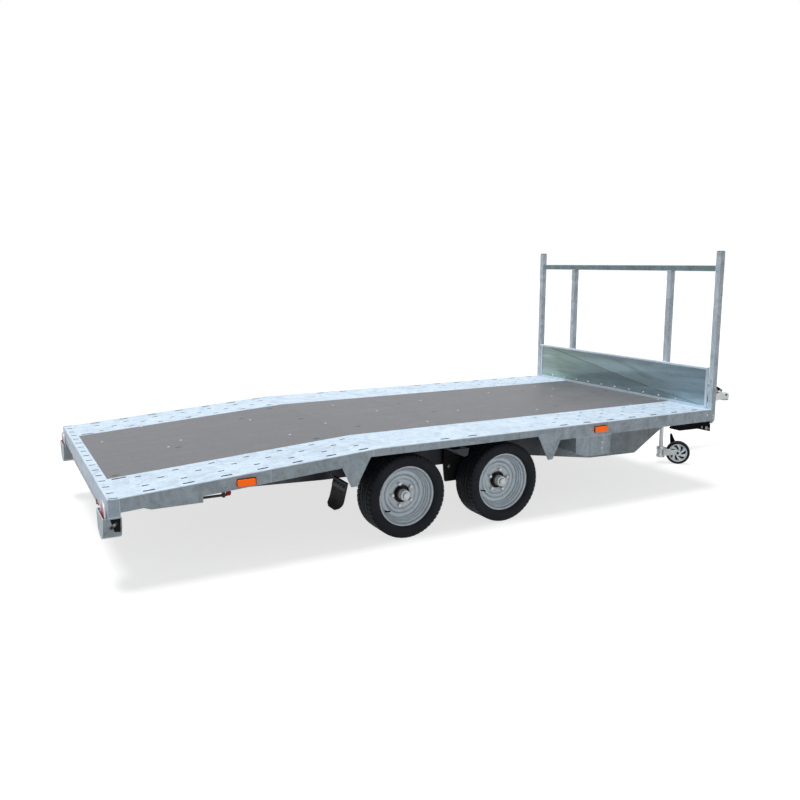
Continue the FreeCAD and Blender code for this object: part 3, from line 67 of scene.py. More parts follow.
class Paint:
    """A material built from noise in the surface's own coordinates."""

    def __init__(self, name, roughness=0.5, metallic=0, **sockets):
        self.material = bpy.data.materials.new(name)
        self.material.use_nodes = True
        self.tree = self.material.node_tree
        self.shader = self.tree.nodes["Principled BSDF"]
        for socket, value in dict(sockets, Roughness=roughness, Metallic=metallic).items():
            self.shader.inputs[socket.replace("_", " ")].default_value = value
        self.place = self.node("TexCoord").outputs["Object"]

    def node(self, kind, **values):
        node = self.tree.nodes.new("ShaderNode" + kind)
        for key, value in values.items():
            setattr(node, key, value)
        return node

    def join(self, source, target):
        """A link from a socket, or a level or colour as the target's own value."""
        if isinstance(source, (int, float)):
            target.default_value = source
        elif isinstance(source, tuple):
            target.default_value = source if len(source) > 3 else source + (1,)
        else:
            self.tree.links.new(source, target)

    def texture(self, kind, stretch, values, **settings):
        """A texture of the surface's coordinates, stretched by (x, y, z)."""
        node = self.node(kind, **settings)
        place = self.place
        if stretch:
            scaled = self.node("Mapping")
            scaled.inputs["Scale"].default_value = stretch
            self.join(place, scaled.inputs["Vector"])
            place = scaled.outputs["Vector"]
        self.join(place, node.inputs["Vector"])
        for socket, value in values.items():
            node.inputs[socket].default_value = value
        return node

    def noise(self, scale, detail=4, rough=0.55, stretch=None, warp=0):
        values = {"Scale": scale, "Detail": detail, "Roughness": rough, "Distortion": warp}
        return self.texture("TexNoise", stretch, values).outputs["Fac"]

    def cells(self, scale, output="Color", feature="F1", stretch=None, space="3D"):
        return self.texture("TexVoronoi", stretch, {"Scale": scale}, feature=feature,
                            voronoi_dimensions=space).outputs[output]

    def part(self, axis):
        """One of the surface's coordinates."""
        node = self.node("SeparateXYZ")
        self.join(self.place, node.inputs[0])
        return node.outputs[axis]

    def span(self, value, low, high):
        """0 to 1 as a value goes from low to high."""
        node = self.node("MapRange")
        for source, socket in ((value, "Value"), (low, "From Min"), (high, "From Max")):
            self.join(source, node.inputs[socket])
        return node.outputs[0]

    def ramp(self, value, *stops):
        """Colours or levels along a value; each stop is (place, colour or level)."""
        node = self.node("ValToRGB")
        self.join(value, node.inputs["Fac"])
        marks = node.color_ramp.elements
        while len(marks) < len(stops):
            marks.new(0.5)
        for mark, (place, shade) in zip(marks, stops):
            shade = (shade, shade, shade) if isinstance(shade, (int, float)) else shade
            mark.position = place
            mark.color = shade + (1,)
        return node.outputs["Color"]

    def mix(self, share, a, b, kind="MIX"):
        node = self.node("Mix", data_type="RGBA", blend_type=kind)
        for source, socket in ((share, 0), (a, 6), (b, 7)):
            self.join(source, node.inputs[socket])
        return node.outputs[2]

    def shaded(self, base, *layers):
        """A colour multiplied by each (share, factor)."""
        for share, factor in layers:
            base = self.mix(share, base, factor, "MULTIPLY")
        return base

    def sum(self, kind, a, b):
        node = self.node("Math", operation=kind)
        self.join(a, node.inputs[0])
        self.join(b, node.inputs[1])
        return node.outputs[0]

    def plus(self, a, b, times):
        return self.sum("ADD", a, self.sum("MULTIPLY", b, times))

    def finished(self, colour, rough, height, depth, strength):
        """The material with its colour, (value, low, high) of roughness and bump."""
        self.join(colour, self.shader.inputs["Base Color"])
        if rough:
            value, low, high = rough
            self.join(self.ramp(value, (0.3, low), (0.7, high)), self.shader.inputs["Roughness"])
        node = self.node("Bump")
        for source, socket in ((height, "Height"), (depth, "Distance"), (strength, "Strength")):
            self.join(source, node.inputs[socket])
        self.join(node.outputs["Normal"], self.shader.inputs["Normal"])
        return self.material


WHEEL_SHADE = (0.02, 0.023, 0.032)
BAR_LOW, BAR_HIGH, BAR_HALF = 1.58, 1.63, 0.989
BAR_SHADE = (0.36, 0.44, 0.44)


def zinc_sheet(name, light, dark, spangle=0.1, stains=0.5, metallic=0.12, shade_near_wheels=False, bar=False):
    """Hot-dipped steel: crystals, cloudy stains, runs down the sides, fine scratches."""
    paint = Paint(name, metallic=metallic)
    crystal = paint.cells(46, "Distance", "SMOOTH_F1")
    flakes = paint.cells(70)
    cloud = paint.noise(2.2, 6, 0.62, warp=0.4)
    runs = paint.noise(1, 5, 0.6, stretch=(22, 22, 2.2))
    marks = paint.noise(7, 9, 0.78, warp=1.5)
    scratch = paint.noise(1, 4, 0.7, stretch=(4, 90, 40))
    sheet = paint.shaded(
        paint.mix(stains, light, paint.ramp(cloud, (0.28, dark), (0.62, light))),
        (1, paint.ramp(flakes, (0, 1 - spangle), (1, 1 + spangle * 0.4))),
        (1, paint.ramp(marks, (0.46, 1), (0.62, 1 - stains * 0.5), (0.68, 0.97))),
        (0.8, paint.ramp(runs, (0.3, 0.84), (0.5, 1), (0.7, 1.06))),
        (0.5, paint.ramp(scratch, (0.3, 0.9), (0.42, 1))))
    # painted shade: darker around and between the wheels
    if shade_near_wheels:
        spread = paint.span(paint.plus(paint.part("X"), marks, 0.5), AXLE - 1.6, AXLE + 3.4)
        dark_patches = paint.ramp(spread, (0.1, 0), (0.26, 1), (0.6, 1), (0.66, 0))
        sheet = paint.mix(dark_patches, sheet, WHEEL_SHADE)
    if bar:
        # painted shade and reflection: darker and greener on the upper cross bar, between the
        # posts
        inside = paint.ramp(paint.span(paint.part("Z"), BAR_LOW, BAR_HIGH),
                            (0.06, 0), (0.12, 1), (0.88, 1), (0.94, 0))
        wide = paint.sum("LESS_THAN", paint.sum("ABSOLUTE", paint.part("Y"), 0), BAR_HALF)
        inside = paint.sum("MULTIPLY", inside, wide)
        sheet = paint.mix(inside, sheet, paint.shaded(sheet, (1, BAR_SHADE)))
    height = paint.plus(paint.plus(crystal, paint.noise(120, 3, 0.7), 0.5), cloud, 3)
    return paint.finished(sheet, (marks, 0.4, 0.62), height, 0.0007, 0.5)


def bright_sheet(name):
    """A smooth new sheet with painted reflections: broad soft bands across it, greener to one
    side, lighter towards the foot.
    """
    paint = Paint(name, metallic=0.3)
    across = paint.span(paint.part("Y"), -0.98, 0.98)
    up = paint.span(paint.part("Z"), 0.598, 0.893)
    tint = paint.ramp(across, (0, (0.31, 0.43, 0.5)), (0.55, (0.32, 0.44, 0.48)),
                      (0.85, (0.31, 0.42, 0.37)), (1, (0.4, 0.51, 0.5)))
    bands = paint.noise(1, 3, 0.5, stretch=(1, 1.3, 9), warp=0.9)
    wave = paint.ramp(bands, (0.3, 0.62), (0.42, 0.95), (0.52, 1.05), (0.6, 0.8), (0.72, 1.3))
    foot = paint.ramp(up, (0, 1.25), (0.14, 1.15), (0.34, 0.82), (0.7, 1), (1, 0.95))
    flakes = paint.ramp(paint.cells(60), (0, 0.95), (1, 1.03))
    sheet = paint.shaded(tint, (0.75, wave), (1, foot), (1, flakes))
    height = paint.plus(bands, paint.noise(120, 3, 0.7), 0.1)
    return paint.finished(sheet, (bands, 0.3, 0.45), height, 0.0008, 0.4)


def board_film(name):
    """Film-faced board: a pressed mesh, pale scuffs and dust along the trailer."""
    paint = Paint(name)
    mesh = paint.cells(260, "Distance", "DISTANCE_TO_EDGE", stretch=(1, 0.8, 1))
    cloud = paint.noise(3.2, 7, 0.66, warp=0.6)
    scuffs = paint.noise(1, 7, 0.72, stretch=(3.5, 26, 20), warp=0.8)
    specks = paint.noise(55, 4, 0.75)
    base = paint.ramp(cloud, (0.3, (0.106, 0.11, 0.122)), (0.7, (0.166, 0.17, 0.182)))
    base = paint.mix(paint.ramp(scuffs, (0.5, 0), (0.72, 0.3)), base, (0.27, 0.27, 0.28))
    base = paint.mix(paint.ramp(specks, (0.56, 0), (0.7, 0.3)), base, (0.32, 0.31, 0.3))
    base = paint.shaded(base, (0.8, paint.ramp(mesh, (0.02, 0.72), (0.14, 1))))
    # dark crumbs and pale chips: scale and stretch of their cells, size, soft edge, colour
    for scale, stretch, size, edge, tint in (
            (1.5, (0.8, 1.3, 1), 0.02, 0.03, (0.02, 0.016, 0.016)),
            (2.1, (1, 0.8, 1), 0.011, 0.018, (0.75, 0.76, 0.76))):
        spots = paint.cells(scale, "Distance", stretch=stretch, space="2D")
        base = paint.mix(paint.ramp(spots, (0, 1), (size, 1), (edge, 0)), base, tint)
    return paint.finished(base, (cloud, 0.42, 0.6), paint.plus(mesh, specks, 0.2), 0.0006, 0.6)


def rubber(name, base, dusty, scale=1):
    paint = Paint(name, roughness=0.7, Specular_IOR_Level=0.22)
    cloud = paint.noise(9 * scale, 6, 0.65, warp=0.5)
    height = paint.sum("ADD", paint.noise(230, 3, 0.7), cloud)
    return paint.finished(paint.ramp(cloud, (0.35, base), (0.75, dusty)), (cloud, 0.55, 0.78),
                          height, 0.0006, 0.5)


def painted(name, base, worn, metallic=0, rough=(0.35, 0.55), scale=2, shine=0.5):
    """Smooth metal or plastic with slight colour drift, grimy patches and fine scratches."""
    paint = Paint(name, metallic=metallic, Specular_IOR_Level=shine)
    cloud = paint.noise(11 * scale, 6, 0.6, warp=0.3)
    dark_patches = paint.noise(26 * scale, 7, 0.75, warp=1)
    shade = paint.shaded(paint.ramp(cloud, (0.3, base), (0.75, worn)),
                         (0.8, paint.ramp(dark_patches, (0.5, 1), (0.68, 0.72))))
    height = paint.sum("ADD", paint.noise(170, 4, 0.7), cloud)
    return paint.finished(shade, (dark_patches, *rough), height, 0.0004, 0.4)


def lens(name, base, deep, glow):
    """Moulded lamp plastic with fine prisms under a glossy skin; a painted glow of its own colour
    stands in for the light they throw back.
    """
    paint = Paint(name, roughness=0.3, Specular_IOR_Level=0.2, Coat_Weight=0.08,
                  Coat_Roughness=0.1, Emission_Color=base + (1,), Emission_Strength=glow)
    prisms = paint.cells(260, "Distance")
    cloud = paint.noise(30, 4)
    shade = paint.mix(0.25, paint.ramp(prisms, (0.1, base), (0.6, deep)),
                      paint.ramp(cloud, (0.3, base), (0.7, deep)))
    return paint.finished(shade, None, prisms, 0.0008, 0.5)


GALVANISED = zinc_sheet("galvanised", (0.64, 0.75, 0.82), (0.44, 0.54, 0.6))
# painted light: a lighter, bluer copy of the galvanised, for the sky lighting and reflecting on
# the deck's top
RUNWAY = zinc_sheet("galvanised_runway", (0.67, 0.81, 0.95), (0.52, 0.66, 0.8), stains=0.45)
PANEL = bright_sheet("galvanised_panel")
FRAME_TUBE = zinc_sheet("galvanised_tube", (0.8, 0.91, 0.98), (0.5, 0.62, 0.68), 0.08, 0.6,
                        bar=True)
# painted shade: a darker copy of the galvanised for the parts under the deck
UNDER = zinc_sheet("galvanised_under", (0.42, 0.48, 0.52), (0.3, 0.35, 0.38), shade_near_wheels=True)
BOARD = board_film("board_film")
TYRE = rubber("tyre_rubber", (0.008, 0.01, 0.014), (0.018, 0.021, 0.027))
BLACK_RUBBER = rubber("black_rubber", (0.006, 0.006, 0.008), (0.016, 0.016, 0.017), 2)
RIM = painted("rim_silver", (0.58, 0.66, 0.72), (0.7, 0.78, 0.84), 0.25, (0.26, 0.4), 1)
ZINC = painted("bright_zinc", (0.58, 0.61, 0.62), (0.7, 0.72, 0.72), 0.6, (0.24, 0.45))
CAST = painted("cast_dark", (0.02, 0.021, 0.023), (0.045, 0.045, 0.048), 0.2, (0.5, 0.7))
BLACK = painted("black_paint", (0.004, 0.004, 0.006), (0.009, 0.009, 0.011), 0, (0.5, 0.7),
                shine=0.03)
PLASTIC = painted("black_plastic", (0.006, 0.006, 0.008), (0.012, 0.012, 0.014), 0,
                  (0.4, 0.55), shine=0.1)
SLOT_SHADE = painted("slot_shade", (0.03, 0.034, 0.038), (0.06, 0.065, 0.07), 0.1,
                     (0.6, 0.8))
HOUSING = zinc_sheet("housing_zinc", (0.42, 0.45, 0.46), (0.3, 0.33, 0.33), 0.06, 0.6, 0.3)
JOCKEY_HUB = painted("jockey_hub_grey", (0.66, 0.76, 0.8), (0.78, 0.86, 0.9), 0.55,
                     (0.35, 0.5), 3)
CREASE_SHADE = painted("crease_shade", (0.15, 0.19, 0.19), (0.21, 0.26, 0.26), 0.2, (0.4, 0.6))
# painted glow: both lens materials give off light of their own colour; the red one also dresses
# the reflectors and the release grip
RED = lens("red_lens", (0.55, 0.012, 0.02), (0.22, 0.004, 0.008), 0.12)
AMBER = lens("amber_lens", (0.92, 0.125, 0.002), (0.72, 0.085, 0.001), 0.68)
# painted highlight: lighter, bluer galvanised on edges, welds, folds and some slot liners, where
# they catch the light
EDGE_HIGHLIGHT = painted("edge_highlight", (0.8, 0.9, 0.98), (0.68, 0.8, 0.9), 0.2, (0.35, 0.5))
# painted highlight: white marks on black plastic where it catches the light
WHITE_HIGHLIGHT = painted("white_highlight", (0.72, 0.72, 0.7), (0.62, 0.62, 0.6), 0, (0.4, 0.6),
                        3)

DRESS = (
    (GALVANISED, ("side_rail", "drawbar_arms", "lamp_guards", "tool_box", "tail_trays")),
    (RUNWAY, ("runway", "rear_beam")),
    (BOARD, ("board_",)),
    (UNDER, ("cross_members", "chassis_beam", "axle", "mudflap_brackets")),
    (FRAME_TUBE, ("headboard_frame",)),
    (HOUSING, ("overrun_housing",)),
    (BLACK, ("towing_shaft", "parking_lever", "front_lamp_arms")),
    (ZINC, ("jockey_tube", "jockey_leg")),
    (CAST, ("locking_rods",)),
)
for node_name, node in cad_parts.items():
    for material, starts in DRESS:
        if node_name.startswith(starts):
            for material_slot in node.material_slots:
                material_slot.material = material

# a slot name for what wears each material; the rest is galvanised
SLOT_OF = {material.name: slot for slot, worn in (
    ("tyre", [TYRE]), ("rubber", [BLACK_RUBBER]), ("rim", [RIM]), ("zinc", [ZINC]),
    ("black_metal", [CAST, BLACK]), ("black_plastic", [PLASTIC, WHITE_HIGHLIGHT]),
    ("jockey_hub", [JOCKEY_HUB]), ("red_lens", [RED]), ("amber_lens", [AMBER]),
) for material in worn}


# ---- mesh maker

class Form:
    """Gathers faces in the row frame until write() makes a piece of them."""

    def __init__(self):
        self.mesh = bmesh.new()

    def quads(self, rows, wrap_u=True, wrap_v=False):
        """Faces between rows of points; a row of one point closes to it."""
        made = [[self.mesh.verts.new(p) for p in row] for row in rows]
        for a, b in zip(made, made[1:] + (made[:1] if wrap_v else [])):
            count = max(len(a), len(b))
            for i in range(count if wrap_u else count - 1):
                j = (i + 1) % count
                ring = [a[i % len(a)], a[j % len(a)], b[j % len(b)], b[i % len(b)]]
                ring = [v for k, v in enumerate(ring) if v not in ring[:k]]
                if len(ring) > 2:
                    self.mesh.faces.new(ring)
        return made

    def sheet(self, rows, thick):
        """A closed sheet: rows of (x, y, z) and the same rows further along x."""
        sides = []
        for shift in (0, thick):
            made = self.quads([[(x + shift, y, z) for x, y, z in row] for row in rows],
                              wrap_u=False)
            sides.append((made[0], made[-1], [r[0] for r in made], [r[-1] for r in made]))
        for a, b in zip(*sides):
            for k in range(len(a) - 1):
                self.mesh.faces.new([a[k], a[k + 1], b[k + 1], b[k]])

    def turned(self, centre, axis, profile, sides=48, angles=None, relief=None, loop=False):
        """A lathe form about axis through centre; profile points are (along, radius)."""
        centre, axis = Vector(centre), Vector(axis).normalized()
        helper = Vector((0, 0, 1)) if abs(axis.z) < 0.9 else Vector((1, 0, 0))
        side = axis.cross(helper).normalized()
        up = side.cross(axis)
        rows = []
        for along, radius in profile:
            if radius == 0:
                rows.append([centre + axis * along])
                continue
            row = []
            for angle in angles or [2 * pi * i / sides for i in range(sides)]:
                a, r = relief(along, radius, angle) if relief else (along, radius)
                out = up * cos(angle) + side * sin(angle)
                row.append(centre + axis * a + out * r)
            rows.append(row)
        self.quads(rows, wrap_v=loop)

    def rod(self, start, end, radius, sides=8):
        run = Vector(end) - Vector(start)
        self.turned(start, run, [(0, 0), (0, radius), (run.length, radius), (run.length, 0)],
                    sides)

    def bolt(self, at, axis, size, height=None, washer=True):
        """A hexagon head with a chamfer, on a washer, its foot at the point."""
        height = height or size * 0.36
        foot = size * 0.1 if washer else 0
        if washer:
            self.turned(at, axis, [(0, 0), (0, size * 0.72), (foot, size * 0.72), (foot, 0)], 16)
        r = size * 0.577
        self.turned(at, axis, [(foot, 0), (foot, r), (height, r), (height * 1.2, r * 0.84),
                               (height * 1.2, 0)], 6)

    def solid(self, outline, low, high, point):
        """An outline extended from low to high; point gives the place of (pair, level)."""
        a = [self.mesh.verts.new(point(p, low)) for p in outline]
        b = [self.mesh.verts.new(point(p, high)) for p in outline]
        self.mesh.faces.new(a)
        self.mesh.faces.new(list(reversed(b)))
        for i in range(len(outline)):
            j = (i + 1) % len(outline)
            self.mesh.faces.new([a[i], b[i], b[j], a[j]])

    def slab(self, outline, side, y, x=0):
        """An outline of (ahead of x, z) between two distances to a side of the middle."""
        self.solid(outline, *sorted((side * y[0], side * y[1])),
                   lambda p, v: (x + p[0], v, p[1]))

    def box(self, x, y, z, side=1):
        """A box between pairs of places along x, y and z, with y to a side."""
        y = sorted((side * y[0], side * y[1]))
        self.solid([(x[0], y[0]), (x[1], y[0]), (x[1], y[1]), (x[0], y[1])], *z,
                   lambda p, v: (*p, v))

    def item(self, name, material):
        """The gathered faces as an object; the next face starts another one."""
        mesh = bpy.data.meshes.new(name)
        self.mesh.to_mesh(mesh)
        self.mesh.clear()
        mesh.materials.append(material)
        item = bpy.data.objects.new(name, mesh)
        bpy.context.scene.collection.objects.link(item)
        return item

    def write(self, name, material, slot=None, body="chassis", bevel=0, smooth=35, segments=2):
        bmesh.ops.recalc_face_normals(self.mesh, faces=self.mesh.faces)
        item = self.item(name, material)
        for face in item.data.polygons:
            face.use_smooth = True
        item.data.set_sharp_from_angle(angle=radians(smooth))
        if bevel:
            edge = item.modifiers.new("edges", "BEVEL")
            edge.width = bevel
            edge.segments = segments
            edge.limit_method = "ANGLE"
            edge.angle_limit = radians(40)
        slot = slot or SLOT_OF.get(material.name, "galvanised")
        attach(item, body)
        return item


form = Form()


# ---- road wheels

TREAD_BLOCKS = 54
TREAD_R = 0.256
GROOVES = (0.012, 0.046)
TREAD_ANGLES = [2 * pi * (block + share) / TREAD_BLOCKS
                for block in range(TREAD_BLOCKS) for share in (0, 0.78, 0.81, 0.97)]
# half the tyre's section, from the middle of the tread to the bead: along the axle, radius
TYRE_HALF = [(0, TREAD_R)]
for groove in GROOVES:
    TYRE_HALF += [(groove + along, TREAD_R - deep)
                  for along, deep in mm((-5.7, 0), (-4.5, 7.5), (4.5, 7.5), (5.7, 0))]
TYRE_HALF += mm(
    (60, 256), (74, 255.7), (85.5, 255.5), (89, 253), (92.5, 247.5), (95, 240), (96.2, 238.5),
    (95.8, 236), (97, 228), (97.5, 218), (96.8, 207), (94.6, 199), (92.6, 197.5), (90, 193),
    (85, 188), (79, 185), (73.5, 184), (71, 183), (70, 181.8))

# the rim's section: outboard lip, well, disc, and back round its inboard side
RIM_SECTION = mm(
    (70, 185.6), (73.5, 186.6), (76.5, 185.2), (77.5, 180), (76.2, 175.6), (72.5, 172.8),
    (66, 170.6), (60, 169), (57, 166), (54, 162), (44, 161), (41.5, 159.5), (39, 156),
    (27, 154.5), (24.5, 153), (22.2, 149), (12, 147), (8, 143), (6, 137), (5.5, 131),
    *((5.5, r) for r in (126, 122, 119, 116, 112, 108, 104, 100, 96, 92, 88, 84, 78, 70, 65,
                         61, 58.5, 56.5, 55)),
    (-0.5, 55), (-0.5, 130), (-4, 142), (-30, 150), (-60, 156), (-70, 160), (-77.5, 168),
    (-77.5, 181), (-73.5, 183.6), (-70, 182.6), (-69, 181.2), (69, 181.2))
DISC_FACE, DISC_EDGE = 0.0055, 0.1265
BOLTS, BOLT_CIRCLE = 5, 0.07
# where the first bolt and the valve stand, in degrees from the top
FIRST_BOLT = {"rear": -18, "front": 8}
VALVE = {"rear": 232, "front": 250}
VALVE_SECTION = mm((-16, 0), (-16, 8.5), (-4, 7.5), (4, 4.5), (24, 4), (24, 5), (34, 5),
                   (35.5, 4), (35.5, 0))
DRUM_SECTION = mm(
    (-94, 20.5), (-94, 98), (-90, 106), (-74, 106), (-72, 103.5), (-30, 103.5), (-28, 106),
    (-6, 106), (-0.8, 102), (-0.8, 57.5), (-12, 56), (-12, 38), (12, 37), (12, 20.5))
CAP_SECTION = mm(
    (18, 0), (18, 33), (34, 33), (35.5, 34), (38, 34), (39.5, 32.5), (56, 32.2), (60, 30.5),
    (61.5, 27), (62, 22.5), (64, 21.5), (71, 21.2), (74.5, 19.5), (76, 15), (75.5, 8), (75, 0))


def tread_relief(along, radius, angle):
    """Deep cuts between the shoulder blocks, shallow ones between the middle ribs."""
    if 0.8 < angle * TREAD_BLOCKS / (2 * pi) % 1 < 0.98:
        if abs(along) > GROOVES[1] + 0.008 and radius > 0.236:
            radius -= 0.0062 * (1 - smoothstep(0.088, 0.0955, abs(along)))
        elif GROOVES[0] + 0.006 < abs(along) < GROOVES[1] - 0.004:
            radius -= 0.0022
    return along, radius


def from_top(degrees):
    """A direction in the wheel's plane."""
    angle = radians(degrees)
    return Vector((sin(angle), 0, cos(angle)))


def make_wheel(end, where, side):
    body = "wheel_" + where
    form.turned(middle("tyre_" + where), (0, 1, 0),
                [(-a, r) for a, r in reversed(TYRE_HALF[1:])] + TYRE_HALF,
                angles=TREAD_ANGLES, relief=tread_relief, loop=True)
    tyre = form.write("tyre_tread_" + where, TYRE, body=body, smooth=28)
    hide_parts("tyre_" + where)

    first = FIRST_BOLT[end]

    def pressed(along, radius, angle):
        """The disc's raised middle, ring and rolled bore."""
        if along < DISC_FACE - 0.0001 or radius > DISC_EDGE:
            return along, radius
        edge = 0.093 + 0.0012 * cos(BOLTS * (angle - radians(first) * side))
        plateau = 0.007 * (1 - smoothstep(edge - 0.005, edge + 0.004, radius))
        ring = 0.0055 * exp(-((radius - 0.116) / 0.004) ** 2)
        rolled = 0.003 * (1 - smoothstep(0.0565, 0.0615, radius))
        return along + plateau + ring - rolled, radius

    centre, axis = middle("rim_" + where), Vector((0, side, 0))
    form.turned(centre, axis, RIM_SECTION, 100, relief=pressed, loop=True)
    rim = form.write("rim_pressed_" + where, RIM, body=body, smooth=40)
    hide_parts("rim_" + where)

    for i in range(BOLTS):
        at = centre + from_top(first + 360 * i / BOLTS) * BOLT_CIRCLE + axis * 0.0138
        form.turned(at, axis, mm((-4, 0), (-4, 15), (2, 13), (2, 0)), 20)
        form.bolt(at + axis * 0.0015, axis, 0.021, 0.013, False)
    form.write("wheel_bolts_" + where, ZINC, body=body, bevel=0.0005)
    out = from_top(VALVE[end])
    form.turned(centre + out * 0.148 + axis * 0.03, axis * 0.9 - out * 0.35, VALVE_SECTION, 16)
    form.write("tyre_valve_" + where, BLACK_RUBBER, body=body)

    form.turned(centre, axis, DRUM_SECTION, 64, loop=True)
    drum = form.write("brake_drum_" + where, CAST, "hub", body)
    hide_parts("hub_" + where)
    form.turned(centre, axis, CAP_SECTION, 40)
    form.write("grease_cap_" + where, ZINC, body=body)


for wheel_end in ("rear", "front"):
    for name, side in SIDES:
        make_wheel(wheel_end, wheel_end + name, side)


# ---- lamps

LAMP_BEADS, LENS_RINGS = 36, 7
MARKER_LONG, MARKER_HIGH, MARKER_THICK = 0.106, 0.042, 0.016


def make_rear_lamps():
    low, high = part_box("rear_lamps")
    radius = (high[2] - low[2]) / 2
    thick = high[0] - low[0]
    lamps = []

    def beads(along, r, angle):
        if radius * 0.86 < r < radius * 0.97 and along > thick * 0.7:
            along += 0.0035 * (0.5 + 0.5 * cos(LAMP_BEADS * angle))
        return along, r

    for name, side in SIDES:
        centre = (high[0], side * (high[1] - radius), (high[2] + low[2]) / 2)
        profile = [(0, 0), (0, radius * 0.92), (0.004, radius * 0.98)]
        profile += [(thick * a, radius * r) for a, r in (
            (0.55, 1), (0.72, 0.985), (0.8, 0.96), (0.84, 0.925), (0.82, 0.88), (0.72, 0.85),
            (0.6, 0.83), (0.6, 0))]
        form.turned(centre, (-1, 0, 0), profile, LAMP_BEADS * 6, relief=beads)
        lamps.append(form.write("rear_lamp_shell" + name, ZINC))
        profile = [(thick * 0.58, 0), (thick * 0.58, radius * 0.835)]
        step = radius * 0.83 / LENS_RINGS
        for i in range(LENS_RINGS):
            outer = step * (LENS_RINGS - i)
            crown = thick * (0.86 + 0.1 * i / LENS_RINGS)
            profile += [(crown - 0.0012, outer), (crown, outer - 0.001),
                        (crown, outer - step + 0.0012)]
        form.turned(centre, (-1, 0, 0), profile + [(thick * 0.97, 0)], 64)
        form.write("rear_lamp_lens" + name, RED)
    for shell in lamps:
        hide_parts("rear_lamps")


def rounded(x0, z0, x1, z1, radius, steps=4):
    """A rectangle with rounded corners."""
    points = []
    for cx, cz, start in ((x1 - radius, z1 - radius, 0), (x0 + radius, z1 - radius, 90),
                          (x0 + radius, z0 + radius, 180), (x1 - radius, z0 + radius, 270)):
        for i in range(steps + 1):
            angle = radians(start + 90 * i / steps)
            points.append((cx + radius * cos(angle), cz + radius * sin(angle)))
    return points


def make_markers():
    low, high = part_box("side_markers")
    face, inner = high[1], high[1] - MARKER_THICK
    for end, x, z in (("tail", low[0], low[2]),
                      ("front", high[0] - MARKER_LONG, high[2] - MARKER_HIGH)):
        for name, side in SIDES:
            where = end + name
            form.slab(rounded(x, z, x + MARKER_LONG, z + MARKER_HIGH, 0.007), side,
                      (inner, inner + MARKER_THICK * 0.45))
            form.write("marker_base_" + where, PLASTIC, bevel=0.001)
            form.slab(rounded(x + 0.002, z + 0.002, x + MARKER_LONG - 0.006,
                              z + MARKER_HIGH - 0.004, 0.006), side,
                      (inner + MARKER_THICK * 0.4, face))
            for i in range(11):
                rib = x + 0.009 + i * 0.0082
                form.box((rib, rib + 0.003), (face - 0.0016, face + 0.0006),
                         (z + 0.008, z + 0.034), side)
            form.write("marker_lens_" + where, AMBER, bevel=0.0022, segments=3)
    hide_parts("side_markers")


make_rear_lamps()
make_markers()


# ---- gaiter, jockey wheel

GAITER_FOLDS, GAITER_BORE = 4, 0.0302
JOCKEY_SPOKES = 7
JOCKEY_TURN = radians(-46)
JOCKEY_AHEAD = Vector((cos(JOCKEY_TURN), sin(JOCKEY_TURN), 0))
JOCKEY_ACROSS = Vector((-sin(JOCKEY_TURN), cos(JOCKEY_TURN), 0))


def make_gaiter():
    low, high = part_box("shaft_gaiter")
    outer = (high[2] - low[2]) / 2
    long = high[0] - low[0]
    profile = [(0, GAITER_BORE), (0, outer * 0.86)]
    steps = GAITER_FOLDS * 8
    for i in range(steps + 1):
        wave = 0.5 - 0.5 * cos(2 * pi * GAITER_FOLDS * i / steps)
        profile.append((0.004 + (long - 0.008) * i / steps, outer * (0.84 + 0.16 * wave ** 0.8)))
    form.turned((low[0], 0, (low[2] + high[2]) / 2), (1, 0, 0),
                profile + [(long, outer * 0.84), (long, GAITER_BORE)], 56, loop=True)
    folds = form.write("gaiter_folds", BLACK_RUBBER, smooth=60)
    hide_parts("shaft_gaiter")


def make_jockey_wheel():
    low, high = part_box("jockey_tyre")
    centre = middle("jockey_tyre")
    radius, half, bead = (high[2] - low[2]) / 2, 0.028, 0.074

    def both_sides(section):
        return section + [(-a, r) for a, r in reversed(section)]

    form.turned(centre, JOCKEY_ACROSS, both_sides([
        (half, bead), (half, bead + 0.006), (half - 0.002, radius - 0.008),
        (half - 0.006, radius - 0.002), (half - 0.013, radius)]), 64, loop=True)
    tyre = form.write("jockey_tyre_solid", BLACK_RUBBER, body="jockey_wheel", smooth=50)
    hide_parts("jockey_tyre")

    def spokes(along, r, angle):
        if 0.026 < r < 0.062:
            wave = 0.5 + 0.5 * cos(JOCKEY_SPOKES * (angle + r * 14))
            along -= copysign(0.012 * (1 - smoothstep(0.24, 0.46, wave)), along)
        return along, r

    form.turned(centre, JOCKEY_ACROSS, both_sides(mm(
        (27, 73.8), (27, 69), (24, 66), (20, 63.5),
        *((20, r) for r in (61, 56, 51, 46, 41, 36, 31, 27, 25)), (27, 21), (28, 17), (28, 6.2))),
        JOCKEY_SPOKES * 20, relief=spokes, loop=True)
    rim = form.write("jockey_wheel_spokes", JOCKEY_HUB, body="jockey_wheel", smooth=30)
    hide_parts("jockey_rim")
    # painted shade: a dark ring behind the spokes, in the gaps between them
    form.turned(centre, JOCKEY_ACROSS, mm((-10, 26.5), (-10, 61.5), (10, 61.5), (10, 26.5)), 56,
                loop=True)
    form.write("jockey_wheel_gap_shade", PLASTIC, "jockey_hub", "jockey_wheel", smooth=30)


make_gaiter()
make_jockey_wheel()


# ---- slots of the deck

